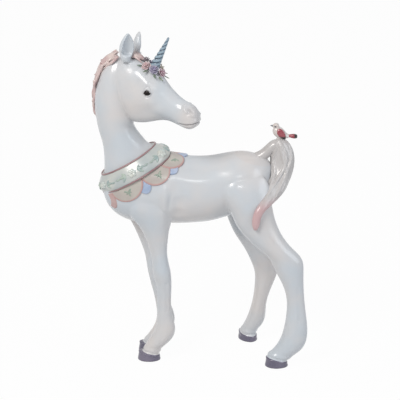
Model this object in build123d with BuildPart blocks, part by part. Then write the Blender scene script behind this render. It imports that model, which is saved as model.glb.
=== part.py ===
"""A standing unicorn foal in glazed porcelain, with a collar, a wreath and a small bird on its tail.

Millimetres, +Z up, hoof soles on Z = 0, origin on the floor under the middle of the animal.
The animal faces -X with its left side towards -Y, and turns its head back over that side.
"""
from build123d import *
from math import cos, pi, radians, sin
import os

os.makedirs("parts", exist_ok=True)

# ---------------------------------------------------------------- driving dimensions
# Trunk
breast_x = -72.5            # foremost point of the breast
trunk_length = 125.5        # breast to buttock
trunk_half_width = 22.5     # widest part of the barrel
seam_height = 104.0         # level at which the four legs are joined on
fore_leg_setback = 40.5     # breast to the line of the fore cannons
hind_leg_setback = 14.0     # buttock forward to the line of the near thigh

# Stance, seen from above: each leg's middle line at its top and at its hoof
middle_side = -2.8          # the animal's middle plane, so that the footprint is centred on the origin
fore_top_side = 12.5
fore_foot_side = 9.4
near_hip_side = 14.0
near_hind_foot_side = 23.0
far_hip_side = 13.0
far_hind_foot_side = 33.0

# Hooves
hoof_length = 18.0
hoof_width = 13.8
hoof_height = 8.2           # at the toe; the coronet slopes down to the heel
hoof_edge = 0.8             # rounded edge of the sole
far_hind_yaw = 52.0         # the far hind foot is turned out

# Neck and collar
collar_x = -51.0            # middle of the collar ring
collar_height = 154.5
collar_tilt = 30.0          # the ring rises towards the withers
collar_width = 12.6         # the band, across its own edges
collar_thickness = 3.0
piping_radius = 0.95
neck_half_depth = 24.8      # inside the collar, front to back
neck_half_width = 16.5

# Head: forward along the face, up through the forehead, side towards the animal's left
head_x = -44.6
head_side = -8.0            # carried over the near side
head_height = 216.5
head_yaw = 28.0             # turned towards the viewer
head_pitch = 20.0           # nose below the poll
head_half_width = 12.6
eye_forward = 11.6
eye_up = 3.8
eye_length = 6.4
nostril_forward = 46.6
nostril_up = 3.6
mouth_corner_forward = 42.0
mouth_corner_up = -7.9
mouth_rise = 27.0           # the line climbs towards the lips
mouth_length = 13.0         # corner to lips
mouth_gap = 0.7
ear_length = 21.8
far_ear_share = 0.87        # the far ear stands lower
near_ear_lean = 0.17        # backward, as a share of its length
far_ear_lean = 0.25
ear_half_width = 5.6
ear_root_forward = -14.5
ear_root_up = 17.0
ear_spread = 7.6            # each ear's root from the middle line
ear_wall = 1.3
horn_length = 29.0
horn_root_radius = 3.6
horn_tip_radius = 0.8
horn_turns = 2.4            # turns of the three-stranded twist
horn_forward = 5.4
horn_root_up = 17.6
horn_lean = 8.0             # leans forward from square to the forehead

# Wreath, lappets and small pieces
blossom_radius = 3.9
blossom_thickness = 1.7
calyx_depth = 2.4           # cup under each blossom that seats it on the head
lappet_half_width = 12.4
lappet_drop = 12.5          # below the band
lappet_thickness = 1.3
under_lappet_half_width = 6.5
under_lappet_drop = 13.0
rosette_radius = 3.0
rosette_thickness = 1.2
rosette_seat = 0.6          # depth of the petals in the band
leaf_length = 6.0
mane_rise = 3.0
mane_half_width = 4.2
lock_length = 11.0

# Tail and bird
tail_apex_x = 60.0
tail_apex_height = 174.5
tail_half_width = 8.4
bird_length = 20.6
bird_height = 12.0


# ---------------------------------------------------------------- shared forms
def oval(plane, half_long, half_wide, fall=1.0):
    """A closed smooth outline: half_long along the plane's X, half_wide along its Y.

    fall narrows the side towards -Y, which turns the oval into an egg.
    """
    points = []
    for step in range(8):
        turn = 2 * pi * step / 8
        narrow = 1 - (1 - fall) * max(0.0, -sin(turn)) ** 0.5 if fall != 1.0 else 1.0
        points.append((half_long * cos(turn) * narrow, half_wide * sin(turn)))
    with BuildSketch(plane) as outline:
        with BuildLine():
            Spline(*points, periodic=True)
        make_face()
    return outline.sketch


def lofted(sections):
    """One smooth solid through the given sections."""
    with BuildPart() as form:
        loft(sections=sections)
    return form.part


def limb(stations, anchor_x, side_top, side_foot, grow=0.0):
    """A leg from inside the trunk to the coronet, through level ovals.

    Each station holds a height, the front and back edges measured from anchor_x, and a half width.
    """
    top = stations[0][0]
    sections = []
    for height, front, back, half_width in stations:
        side = middle_side + side_foot + (side_top - side_foot) * height / top
        plane = Plane(origin=(anchor_x + (front + back) / 2, side, height), z_dir=(0, 0, 1))
        sections.append(oval(plane, (back - front) / 2 + grow, half_width + grow))
    return lofted(sections)


def hoof(x, side, yaw=0.0):
    """A hoof standing on the floor: flared, with its coronet sloping down to the heel."""
    turn = radians(yaw)
    toe = Plane(origin=(x, middle_side + side, 0), x_dir=(cos(turn), -sin(turn), 0), z_dir=(0, 0, 1))
    coronet = toe.offset(hoof_height * 0.78).rotated((0, 12, 0))
    with BuildPart() as horn_shoe:
        loft(
            sections=[
                oval(toe, hoof_length / 2 - hoof_edge, hoof_width / 2 - hoof_edge),
                oval(toe.offset(hoof_edge), hoof_length / 2, hoof_width / 2),
                oval(coronet, hoof_length * 0.44, hoof_width * 0.45),
            ],
            ruled=True,
        )
    return horn_shoe.part


def blossom(plane, radius, thickness, calyx=0.0):
    """A five-petalled blossom: two turned rings of petals round a raised heart, over a calyx."""
    with BuildPart() as flower:
        with BuildSketch(plane):
            with PolarLocations(radius * 0.55, 5):
                Circle(radius * 0.45)
            Circle(radius * 0.5)
        extrude(amount=thickness * 0.6)
        with BuildSketch(plane):
            with PolarLocations(radius * 0.32, 5, start_angle=36):
                Circle(radius * 0.32)
        extrude(amount=thickness)
        with BuildSketch(plane):
            Circle(radius * 0.24)
        extrude(amount=thickness * 1.3, taper=12)
        if calyx > 0:
            with BuildSketch(plane):
                Circle(radius * 0.78)
            extrude(amount=-calyx, taper=10)
    return flower.part


# ---------------------------------------------------------------- trunk, neck and limbs
# Share of the trunk's length from the breast, top height, bottom height, share of the half width
barrel_stations = [
    (0.000, 144.5, 132.0, 0.30),
    (0.035, 154.0, 122.5, 0.60),
    (0.120, 163.0, 113.5, 0.86),
    (0.260, 166.0, 109.8, 0.98),
    (0.420, 163.4, 109.5, 1.00),
    (0.580, 161.6, 110.5, 0.99),
    (0.730, 164.0, 114.5, 0.95),
    (0.840, 165.4, 117.5, 0.93),
    (0.920, 162.8, 120.0, 0.82),
    (0.975, 156.5, 125.5, 0.58),
    (1.000, 147.5, 133.5, 0.28),
]

# Height, front and back edges from the leg's anchor line, half width
near_fore_stations = [
    (140.0, -27.0, 12.0, 8.0),
    (128.0, -25.5, 12.5, 9.5),
    (118.5, -20.5, 11.0, 9.3),
    (108.0, -13.0, 9.5, 7.8),
    (97.0, -8.3, 7.4, 6.3),
    (84.0, -4.9, 7.3, 5.7),
    (72.5, -3.8, 9.5, 6.3),
    (62.0, -1.8, 10.1, 5.2),
    (49.0, -1.0, 9.7, 4.8),
    (37.0, -1.2, 10.6, 5.2),
    (28.0, -2.3, 12.6, 6.2),
    (20.5, -5.4, 11.6, 6.8),
    (13.0, -10.2, 5.5, 6.2),
    (4.2, -14.4, 0.2, 6.3),
]
far_fore_stations = [
    (140.0, -30.0, 10.0, 8.0),
    (128.0, -29.0, 10.0, 9.5),
    (116.0, -26.5, 6.5, 9.2),
    (104.0, -20.0, 2.5, 7.4),
    (92.0, -14.8, 0.2, 6.0),
    (80.0, -10.8, 1.6, 5.7),
    (70.5, -9.3, 4.0, 6.2),
    (59.5, -7.2, 4.6, 5.1),
    (48.5, -4.4, 6.3, 4.8),
    (38.0, -2.4, 9.3, 5.1),
    (28.0, -2.0, 12.0, 6.1),
    (20.0, -4.6, 10.6, 6.7),
    (12.5, -9.8, 5.4, 6.2),
    (4.2, -14.4, 0.2, 6.3),
]
near_hind_stations = [
    (151.0, -20.0, 6.0, 4.0),
    (143.0, -26.5, 12.5, 8.6),
    (133.0, -23.0, 14.5, 11.0),
    (122.0, -16.5, 16.3, 11.0),
    (112.0, -11.3, 19.3, 10.2),
    (102.0, -3.5, 24.5, 9.2),
    (93.0, 6.2, 32.0, 8.3),
    (85.0, 14.2, 38.6, 7.6),
    (76.0, 18.6, 39.8, 7.0),
    (66.0, 23.8, 40.0, 6.0),
    (54.0, 27.2, 40.8, 5.2),
    (42.0, 27.2, 42.2, 5.4),
    (31.0, 25.5, 43.4, 6.4),
    (21.0, 22.2, 42.6, 7.0),
    (13.5, 17.0, 38.5, 6.6),
    (4.2, 13.0, 27.8, 6.3),
]
far_hind_stations = [
    (151.0, -20.0, 6.0, 4.0),
    (143.0, -26.0, 12.0, 8.6),
    (133.0, -25.0, 13.5, 11.0),
    (122.0, -22.0, 13.5, 11.0),
    (112.0, -19.0, 13.0, 10.2),
    (102.0, -15.5, 14.0, 9.4),
    (92.0, -10.8, 17.0, 8.6),
    (82.0, -4.6, 21.0, 8.0),
    (72.0, 0.2, 23.6, 7.6),
    (62.0, 3.8, 22.6, 6.6),
    (50.0, 4.4, 18.8, 5.8),
    (39.0, 3.4, 15.2, 5.8),
    (29.0, 1.4, 13.6, 6.4),
    (20.5, -1.2, 13.0, 6.8),
    (13.0, -4.6, 10.0, 6.4),
    (4.2, -6.8, 6.4, 6.3),
]

fore_x = breast_x + fore_leg_setback
hind_x = breast_x + trunk_length - hind_leg_setback


def barrel(grow=0.0):
    """The trunk, from the breast to the buttocks, through upright ovals."""
    sections = []
    for share, top, bottom, width in barrel_stations:
        plane = Plane(
            origin=(breast_x + share * trunk_length, middle_side, (top + bottom) / 2),
            x_dir=(0, 1, 0),
            z_dir=(1, 0, 0),
        )
        sections.append(oval(plane, trunk_half_width * width + grow, (top - bottom) / 2 + grow))
    return lofted(sections)


# Neck stations: distance from the collar along the neck, forward drift, lean of the section,
# share of the half depth, share of the half width
neck_stations = [
    (-18.0, 7.5, 30.0, 1.14, 1.14),
    (-7.0, 0.0, 30.0, 1.09, 1.08),
    (0.0, 0.0, 30.0, 1.00, 1.00),
    (7.0, 0.0, 30.0, 0.84, 0.90),
]


def neck_plane(x, height, tilt):
    """A plane across the neck, its X axis running from throat to crest."""
    lean = radians(tilt)
    return Plane(
        origin=(x, middle_side, height), x_dir=(cos(lean), 0, sin(lean)), z_dir=(-sin(lean), 0, cos(lean))
    )


collar_plane = neck_plane(collar_x, collar_height, collar_tilt)

# Above the collar: middle's offset from the collar in X and Z, tilt, half depth, half width
upper_neck_stations = [
    (-6.6, 17.0, 15.0, 15.8, 13.6),
    (-10.6, 26.5, 6.0, 14.0, 13.0),
    (-13.3, 36.5, 0.0, 13.6, 13.2),
    (-13.8, 48.0, -6.0, 14.2, 13.6),
    (-12.0, 60.0, -14.0, 14.4, 13.0),
    (-8.8, 71.0, -28.0, 13.4, 11.0),
    (-4.5, 79.0, -42.0, 9.0, 7.5),
]


def neck(grow=0.0):
    """The neck, from deep in the shoulders to the poll."""
    sections = []
    for along, drift, tilt, depth, width in neck_stations:
        base = collar_plane.offset(along)
        plane = neck_plane(base.origin.X + drift, base.origin.Z, tilt)
        sections.append(oval(plane, neck_half_depth * depth + grow, neck_half_width * width + grow))
    for over, rise, tilt, half_depth, half_width in upper_neck_stations:
        plane = neck_plane(collar_x + over, collar_height + rise, tilt)
        sections.append(oval(plane, half_depth + grow, half_width + grow))
    return lofted(sections)


def fore_limbs(grow=0.0):
    near = limb(near_fore_stations, fore_x, -fore_top_side, -fore_foot_side, grow)
    far = limb(far_fore_stations, fore_x, fore_top_side, fore_foot_side, grow)
    return near, far


near_fore_limb, far_fore_limb = fore_limbs()
near_hind_limb = limb(near_hind_stations, hind_x, -near_hip_side, -near_hind_foot_side)
far_hind_limb = limb(far_hind_stations, hind_x, far_hip_side, far_hind_foot_side)
trunk_form = barrel()
neck_form = neck()

# The casting as one skin, cut afterwards along its seams
with BuildPart() as skin:
    add(trunk_form)
    add(neck_form)
    add(near_fore_limb)
    add(far_fore_limb)
    add(near_hind_limb)
    add(far_hind_limb)

with BuildPart() as torso:
    add(skin.part)
    split(bisect_by=Plane.XY.offset(seam_height), keep=Keep.TOP)
    split(bisect_by=collar_plane, keep=Keep.BOTTOM)
torso.part.label = "torso"
export_step(torso.part, "parts/torso.step")

leg_pieces = {
    "fore_leg_left": (near_fore_limb, fore_x - 7.6, -fore_foot_side, 0.0),
    "fore_leg_right": (far_fore_limb, fore_x - 7.6, fore_foot_side, 0.0),
    "hind_leg_left": (near_hind_limb, hind_x + 20.0, -near_hind_foot_side, 0.0),
    "hind_leg_right": (far_hind_limb, hind_x - 0.6, far_hind_foot_side, far_hind_yaw),
}
for name, (form, foot_x, foot_side, yaw) in leg_pieces.items():
    shoe = hoof(foot_x, foot_side, yaw)
    with BuildPart() as leg:
        add(form)
        split(bisect_by=Plane.XY.offset(seam_height), keep=Keep.BOTTOM)
        add(shoe)
    leg.part.label = name
    export_step(leg.part, f"parts/{name}.step")

# ---------------------------------------------------------------- head
yaw, pitch = radians(head_yaw), radians(head_pitch)
head_frame = Plane(
    origin=(head_x, middle_side + head_side, head_height),
    x_dir=(sin(yaw), cos(yaw), 0),
    z_dir=(cos(yaw) * cos(pitch), -sin(yaw) * cos(pitch), -sin(pitch)),
)
face_forward, face_up, face_left = head_frame.z_dir, head_frame.y_dir, head_frame.x_dir


def head_point(forward, up, side):
    """A place on the head from the distances along, above and beside its middle line."""
    return head_frame.from_local_coords((side, up, forward))


# Forward, top, bottom, share of the half width, fall towards the jaw
head_stations = [
    (-22.0, 15.5, -9.0, 0.68, 0.92),
    (-15.0, 19.4, -19.5, 0.91, 0.84),
    (-5.0, 20.6, -24.6, 1.00, 0.74),
    (5.0, 19.6, -23.8, 1.00, 0.72),
    (14.0, 16.6, -19.4, 0.93, 0.70),
    (22.0, 12.2, -15.2, 0.78, 0.72),
    (31.0, 8.9, -12.2, 0.65, 0.80),
    (40.0, 7.8, -11.6, 0.61, 0.88),
    (46.5, 6.6, -10.8, 0.61, 0.92),
    (50.4, 3.8, -8.8, 0.52, 0.96),
    (52.8, 0.4, -5.4, 0.30, 1.00),
]


def head_form():
    sections = []
    for forward, top, bottom, width, fall in head_stations:
        plane = Plane(
            origin=head_point(forward, (top + bottom) / 2, 0), x_dir=face_left, z_dir=face_forward
        )
        sections.append(oval(plane, head_half_width * width, (top - bottom) / 2, fall))
    return lofted(sections)


skull = head_form()
eye_side = head_half_width * 0.93 - 3.4
nostril_side = head_half_width * 0.58
line = radians(mouth_rise)
mouth_along = face_forward * cos(line) + face_up * sin(line)
mouth_plane = Plane(
    origin=head_point(mouth_corner_forward, mouth_corner_up, 0) + mouth_along * mouth_length,
    x_dir=mouth_along,
    z_dir=mouth_along.cross(face_left),
)
with BuildPart() as head:
    add(skull)
    for side in (-1, 1):
        # Eyeball standing a little proud of the cheek
        with Locations(head_point(eye_forward, eye_up, side * eye_side)):
            Sphere(eye_length * 0.66)
        # Nostril hollow
        with Locations(head_point(nostril_forward, nostril_up, side * nostril_side)):
            Sphere(2.3, mode=Mode.SUBTRACT)
    # Closed lips: a shallow groove round the muzzle
    with BuildSketch(mouth_plane):
        Rectangle(2 * mouth_length, 2 * head_half_width)
        with Locations((-mouth_length * 0.65, 0)):
            Ellipse(mouth_length * 0.60, head_half_width * 0.45, mode=Mode.SUBTRACT)
        with Locations((-mouth_length * 1.5, 0)):
            Rectangle(2 * mouth_length, 2 * head_half_width, mode=Mode.SUBTRACT)
    extrude(amount=mouth_gap / 2, both=True, mode=Mode.SUBTRACT)
head.part.label = "head"
export_step(head.part, "parts/head.step")

with BuildPart() as neck_piece:
    add(skin.part)
    split(bisect_by=collar_plane, keep=Keep.TOP)
    add(head.part, mode=Mode.SUBTRACT)
neck_piece.part.label = "neck"
export_step(neck_piece.part, "parts/neck.step")


def ear(side):
    """A cupped ear whose mouth faces forward and outward."""
    length = ear_length * (far_ear_share if side > 0 else 1.0)
    lean_back = far_ear_lean if side > 0 else near_ear_lean
    root = head_point(ear_root_forward, ear_root_up, side * ear_spread)
    tip = head_point(ear_root_forward - length * lean_back, ear_root_up + length, side * (ear_spread + 2.4))
    axis = (tip - root).normalized()
    facing = (face_forward * 0.8 + face_left * side * 0.6).normalized()
    across = axis.cross(facing).normalized()
    base = Plane(origin=root, x_dir=across, z_dir=axis)
    length = (tip - root).length
    mouth = base.y_dir if base.y_dir.dot(facing) > 0 else base.y_dir * -1
    # Share of the length, share of the half width, depth against width
    shape = [(0, 0.66, 0.95), (0.25, 0.90, 0.82), (0.52, 1.0, 0.66), (0.78, 0.70, 0.62), (0.94, 0.30, 0.7)]
    outer, inner = [], []
    for share, width, depth in shape:
        plane = base.offset(length * share)
        half = ear_half_width * width
        outer.append(oval(plane, half, half * depth))
        if share > 0.2:
            hollow = Plane(origin=plane.origin + mouth * half * 0.55, x_dir=across, z_dir=axis)
            inner.append(oval(hollow, max(half - ear_wall, 0.3), half * depth))
    outer.append(oval(base.offset(length), 0.35, 0.3))
    with BuildPart() as cup:
        loft(sections=outer)
        loft(sections=inner, mode=Mode.SUBTRACT)
        add(head.part, mode=Mode.SUBTRACT)
        add(neck_piece.part, mode=Mode.SUBTRACT)
    return cup.part


with BuildPart() as ear_left:
    add(ear(1))
ear_left.part.label = "ear_left"
export_step(ear_left.part, "parts/ear_left.step")

with BuildPart() as ear_right:
    add(ear(-1))
ear_right.part.label = "ear_right"
export_step(ear_right.part, "parts/ear_right.step")

# Horn: three strands twisted together, tapering to a blunt tip
lean = radians(horn_lean)
horn_axis = face_up * cos(lean) + face_forward * sin(lean)
horn_base = Plane(origin=head_point(horn_forward, horn_root_up, 0), x_dir=face_left, z_dir=horn_axis)
horn_steps = 22


def strand_section(plane, radius, turn):
    """Outline of three strands lying together, turned by an angle."""
    points = []
    for step in range(12):
        around = 2 * pi * step / 12
        reach = radius * (1 + 0.13 * cos(3 * around))
        points.append((reach * cos(around + turn), reach * sin(around + turn)))
    with BuildSketch(plane) as outline:
        with BuildLine():
            Spline(*points, periodic=True)
        make_face()
    return outline.sketch


with BuildPart() as horn:
    horn_sections = []
    for step in range(horn_steps + 1):
        share = step / horn_steps
        radius = horn_root_radius + (horn_tip_radius - horn_root_radius) * share
        horn_sections.append(
            strand_section(horn_base.offset(horn_length * share), radius, 2 * pi * horn_turns * share)
        )
    loft(sections=horn_sections)
    add(head.part, mode=Mode.SUBTRACT)
horn.part.label = "horn"
export_step(horn.part, "parts/horn.step")

# ---------------------------------------------------------------- collar
ring_tilt = radians(collar_tilt)
to_withers = Vector(cos(ring_tilt), 0, sin(ring_tilt))
ring_axis = collar_plane.z_dir
half_band = collar_width / 2
# Offset along the ring's axis, half depth, half width of the band's outer face
band_outline = [
    (
        -half_band,
        neck_half_depth * 1.09 + collar_thickness * 0.8,
        trunk_half_width * 0.91 + collar_thickness * 0.7,
    ),
    (
        -half_band * 0.35,
        neck_half_depth * 1.11 + collar_thickness,
        trunk_half_width * 0.87 + collar_thickness * 0.9,
    ),
    (
        half_band * 0.35,
        neck_half_depth * 1.01 + collar_thickness,
        trunk_half_width * 0.76 + collar_thickness * 0.9,
    ),
    (
        half_band,
        neck_half_depth * 0.86 + collar_thickness * 0.7,
        neck_half_width * 0.94 + collar_thickness * 0.6,
    ),
]

with BuildPart() as collar_band:
    loft(sections=[oval(collar_plane.offset(offset), deep, wide) for offset, deep, wide in band_outline])
    add(skin.part, mode=Mode.SUBTRACT)
collar_band.part.label = "collar_band"
export_step(collar_band.part, "parts/collar_band.step")


def piping(row):
    """A round cord of clay along one edge of the band."""
    offset, half_depth, half_width = row
    edge_line = Edge.make_ellipse(half_depth, half_width, collar_plane.offset(offset))
    with BuildPart() as cord:
        with BuildSketch(Plane(origin=edge_line @ 0, z_dir=edge_line % 0)):
            Circle(piping_radius)
        sweep(path=edge_line)
        add(skin.part, mode=Mode.SUBTRACT)
        add(collar_band.part, mode=Mode.SUBTRACT)
    return cord.part


with BuildPart() as collar_piping_lower:
    add(piping(band_outline[0]))
collar_piping_lower.part.label = "collar_piping_lower"
export_step(collar_piping_lower.part, "parts/collar_piping_lower.step")

with BuildPart() as collar_piping_upper:
    add(piping(band_outline[-1]))
collar_piping_upper.part.label = "collar_piping_upper"
export_step(collar_piping_upper.part, "parts/collar_piping_upper.step")


# ---------------------------------------------------------------- lappets and rosettes
def hanging_plane(angle, lean=0.0):
    """Plane of a piece hanging from the band's lower edge at an angle round the ring.

    The angle runs from the withers towards the near side. The plane's Z looks outward, leant
    towards the ring's axis, and its Y points up the neck.
    """
    offset, deep, wide = band_outline[0]
    turn = radians(angle)
    nearward = Vector(0, -1, 0)
    middle = collar_plane.offset(offset).origin
    place = middle + to_withers * deep * cos(turn) + nearward * wide * sin(turn)
    square = (to_withers * wide * cos(turn) + nearward * deep * sin(turn)).normalized()
    outward = square * cos(radians(lean)) + ring_axis * sin(radians(lean))
    return Plane(origin=place, x_dir=ring_axis.cross(square), z_dir=outward)


def tongue(plane, half_width, drop):
    """A bar through the skin with the outline of a tongue that hangs from the band."""
    with BuildPart() as bar:
        with BuildSketch(plane.offset(-12)):
            Ellipse(half_width, drop)
            with Locations((0, half_band * 0.5)):
                Rectangle(3 * half_width, 2 * drop, align=(Align.CENTER, Align.MIN), mode=Mode.SUBTRACT)
        extrude(amount=24)
    return bar.part


# The laid-on clay: a layer over the breast, neck and shoulders, within reach of the collar
apron_reach = half_band + lappet_drop + 4.0
near_grown, far_grown = fore_limbs(lappet_thickness)
with BuildPart() as clay_layer:
    add(barrel(lappet_thickness))
    add(neck(lappet_thickness))
    add(near_grown)
    add(far_grown)
    split(bisect_by=collar_plane.offset(-apron_reach), keep=Keep.TOP)
    split(bisect_by=collar_plane, keep=Keep.BOTTOM)
    add(skin.part, mode=Mode.SUBTRACT)
    add(collar_band.part, mode=Mode.SUBTRACT)
    add(collar_piping_lower.part, mode=Mode.SUBTRACT)

# Angle round the ring, lean of the outward direction to suit the skin there, share of the width
lappet_places = {
    "lappet_back_left": (20, 48, 0.80),
    "lappet_side_left": (57, 18, 0.94),
    "lappet_breast_left": (109, 0, 1.12),
    "lappet_front": (180, -6, 1.00),
    "lappet_breast_right": (-109, 0, 1.12),
    "lappet_side_right": (-57, 18, 0.94),
    "lappet_back_right": (-20, 48, 0.80),
}
# The same for the smaller tongues of the layer beneath, which show between the lappets
under_lappet_places = {
    "under_lappets_side": ((0, 48), (36, 30), (84, 8), (-84, 8), (-36, 30)),
    "under_lappets_breast": ((146, -4), (-146, -4)),
}


def laid_on(bar, earlier):
    """The clay under a bar that no earlier bar has taken, as one piece."""
    with BuildPart() as clay:
        add(bar)
        if earlier is not None:
            add(earlier, mode=Mode.SUBTRACT)
        add(clay_layer.part, mode=Mode.INTERSECT)
    return clay.part.solids().sort_by(SortBy.VOLUME)[-1]


taken = None
for name, (angle, lean_out, size) in lappet_places.items():
    bar = tongue(hanging_plane(angle, lean_out), lappet_half_width * size, lappet_drop)
    with BuildPart() as lappet:
        add(laid_on(bar, taken))
    taken = bar if taken is None else taken + bar
    lappet.part.label = name
    export_step(lappet.part, f"parts/{name}.step")

for name, places in under_lappet_places.items():
    with BuildPart() as under_lappets:
        for angle, lean_out in places:
            under_bar = tongue(hanging_plane(angle, lean_out), under_lappet_half_width, under_lappet_drop)
            add(laid_on(under_bar, taken))
    under_lappets.part.label = name
    export_step(under_lappets.part, f"parts/{name}.step")

with BuildPart() as collar_rosettes:
    for angle in (30, 90, 150, -30, -90, -150):
        turn = radians(angle)
        wide = (band_outline[1][2] + band_outline[2][2]) / 2
        deep = (band_outline[1][1] + band_outline[2][1]) / 2
        nearward = Vector(0, -1, 0)
        spot = collar_plane.origin + to_withers * deep * cos(turn) + nearward * wide * sin(turn)
        outward = (to_withers * wide * cos(turn) + nearward * deep * sin(turn)).normalized()
        outward = (outward + ring_axis * 0.25).normalized()
        place = Plane(origin=spot - outward * rosette_seat, x_dir=ring_axis, z_dir=outward)
        add(blossom(place, rosette_radius, rosette_thickness))
    add(collar_band.part, mode=Mode.SUBTRACT)
collar_rosettes.part.label = "collar_rosettes"
export_step(collar_rosettes.part, "parts/collar_rosettes.step")

# ---------------------------------------------------------------- strands
def strand(rows):
    """A tapering lock through ovals set square to its own line.

    Each row holds a place, the half width across the animal's side and the half width within it.
    """
    places = [Vector(*row[0]) + Vector(0, middle_side, 0) for row in rows]
    sections = []
    for index, (_, half_flat, half_deep) in enumerate(rows):
        ahead = places[min(index + 1, len(places) - 1)]
        behind = places[max(index - 1, 0)]
        along = (ahead - behind).normalized()
        across = Vector(0, 1, 0).cross(along)
        if across.length < 0.3:
            across = Vector(1, 0, 0)
        plane = Plane(origin=places[index], x_dir=across.normalized(), z_dir=along)
        sections.append(oval(plane, half_flat, half_deep))
    return lofted(sections)


# ---------------------------------------------------------------- tail
buttock_x = breast_x + trunk_length
dock_rows = [
    ((buttock_x - 14.0, 0, 155.0), 6.0, 6.0),
    ((buttock_x - 7.5, 0, 161.0), 5.0, 5.2),
    ((buttock_x - 1.0, 0, 166.6), 4.2, 4.8),
    ((tail_apex_x - 2.5, 0, tail_apex_height - 3.6), 4.0, 4.8),
    ((tail_apex_x + 1.5, 0, tail_apex_height - 4.4), 2.6, 3.6),
]
# The hair falls from the apex and its end lies forward on the near thigh
hair_rows = [
    ((tail_apex_x - 0.4, 0, tail_apex_height + 0.8), 1.6, 1.8),
    ((tail_apex_x + 0.0, 0, tail_apex_height - 1.6), 5.2, 4.4),
    ((tail_apex_x + 1.4, 0, tail_apex_height - 6.5), 7.3, 5.8),
    ((tail_apex_x + 2.6, 0, tail_apex_height - 14.0), tail_half_width, 6.4),
    ((tail_apex_x + 2.0, -1.5, tail_apex_height - 21.5), tail_half_width * 0.97, 6.4),
    ((tail_apex_x + 0.4, -5.0, tail_apex_height - 28.5), tail_half_width * 0.86, 6.0),
    ((tail_apex_x - 3.0, -11.0, tail_apex_height - 35.0), tail_half_width * 0.78, 5.2),
    ((tail_apex_x - 7.5, -18.0, tail_apex_height - 40.5), tail_half_width * 0.62, 4.4),
    ((tail_apex_x - 12.3, -24.5, tail_apex_height - 44.8), tail_half_width * 0.52, 3.8),
    ((tail_apex_x - 15.8, -27.4, tail_apex_height - 48.6), tail_half_width * 0.48, 3.4),
    ((tail_apex_x - 17.6, -28.4, tail_apex_height - 53.5), tail_half_width * 0.47, 3.1),
    ((tail_apex_x - 18.2, -28.6, tail_apex_height - 58.5), tail_half_width * 0.42, 2.9),
    ((tail_apex_x - 18.4, -28.6, tail_apex_height - 63.0), tail_half_width * 0.20, 1.5),
]
with BuildPart() as tail:
    add(strand(dock_rows))
    add(strand(hair_rows))
    add(skin.part, mode=Mode.SUBTRACT)
tail.part.label = "tail"
export_step(tail.part, "parts/tail.step")

# ---------------------------------------------------------------- bird on the tail
bird_x = tail_apex_x                         # middle of its body
bird_z = tail_apex_height + bird_height / 2


def bird_station(along, rise, half_height, half_width, dip):
    """An oval across the bird, whose line dips towards the tail by an angle."""
    tip = radians(dip)
    plane = Plane(
        origin=(bird_x + along, middle_side, bird_z + rise),
        x_dir=(0, 1, 0),
        z_dir=(cos(tip), 0, -sin(tip)),
    )
    return oval(plane, half_width, half_height)


def bird_beak_plane(reach):
    """A plane across the beak, at a share of the bird's length ahead of its middle."""
    return Plane(
        origin=(bird_x - bird_length * reach, middle_side, bird_z + bird_height * (0.38 + reach * 0.15)),
        x_dir=(0, 1, 0),
        z_dir=(-1, 0, 0.1),
    )


with BuildPart() as bird_body:
    # Breast and back, from inside the head down to the rump
    loft(
        sections=[
            bird_station(-3.9, 3.4, 1.3, 1.4, 52),
            bird_station(-2.7, 1.8, 3.4, 2.9, 42),
            bird_station(-0.2, -0.3, 4.0, 3.4, 34),
            bird_station(2.6, -2.0, 3.2, 3.0, 28),
            bird_station(5.2, -2.9, 2.0, 2.2, 14),
            bird_station(7.0, -3.0, 1.2, 1.5, 4),
        ]
    )
    # Head
    with Locations((bird_x - bird_length * 0.13, middle_side, bird_z + bird_height * 0.39)):
        Sphere(bird_height * 0.21)
    # Beak, from its root in the head to the tip
    with BuildSketch(bird_beak_plane(0.22)):
        Circle(bird_height * 0.085)
    with BuildSketch(bird_beak_plane(0.345)):
        Circle(0.2)
    loft()
    # Feet, tucked under the breast on the top of the tail
    with Locations((bird_x - 0.2, middle_side, tail_apex_height + 0.6)):
        Cylinder(1.7, 3.6)
    add(tail.part, mode=Mode.SUBTRACT)
bird_body.part.label = "bird_body"
export_step(bird_body.part, "parts/bird_body.step")

with BuildPart() as bird_tail:
    loft(
        sections=[
            bird_station(5.8, -2.9, 1.2, 1.4, 6),
            bird_station(9.4, -3.0, 1.6, 1.8, 2),
            bird_station(bird_length * 0.58, -3.2, 1.7, 2.2, 2),
            bird_station(bird_length * 0.65, -3.2, 1.0, 1.7, 0),
        ]
    )
    add(bird_body.part, mode=Mode.SUBTRACT)
    add(tail.part, mode=Mode.SUBTRACT)
bird_tail.part.label = "bird_tail"
export_step(bird_tail.part, "parts/bird_tail.step")

# Folded wings lie down the flanks, their tips at the sides of the rump: distance along and above the
# bird's middle, distance out, half thickness, half height
wing_rows = [
    (-1.8, 2.9, 2.0, 0.5, 0.8),
    (-0.4, 1.4, 3.0, 0.9, 2.4),
    (1.4, -0.9, 3.2, 0.9, 2.6),
    (3.0, -3.0, 2.8, 0.8, 1.8),
    (4.3, -4.8, 2.2, 0.3, 0.5),
]
for side, name in ((-1, "bird_wing_left"), (1, "bird_wing_right")):
    wing_sections = []
    for along, rise, out, thick, tall in wing_rows:
        plane = Plane(
            origin=(bird_x + along, middle_side + side * out, bird_z + rise),
            x_dir=(0, 1, 0),
            z_dir=(0.6, 0, -0.8),
        )
        wing_sections.append(oval(plane, thick, tall))
    with BuildPart() as wing:
        loft(sections=wing_sections)
        add(bird_body.part, mode=Mode.SUBTRACT)
        add(bird_tail.part, mode=Mode.SUBTRACT)
        add(tail.part, mode=Mode.SUBTRACT)
    wing.part.label = name
    export_step(wing.part, f"parts/{name}.step")


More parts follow.
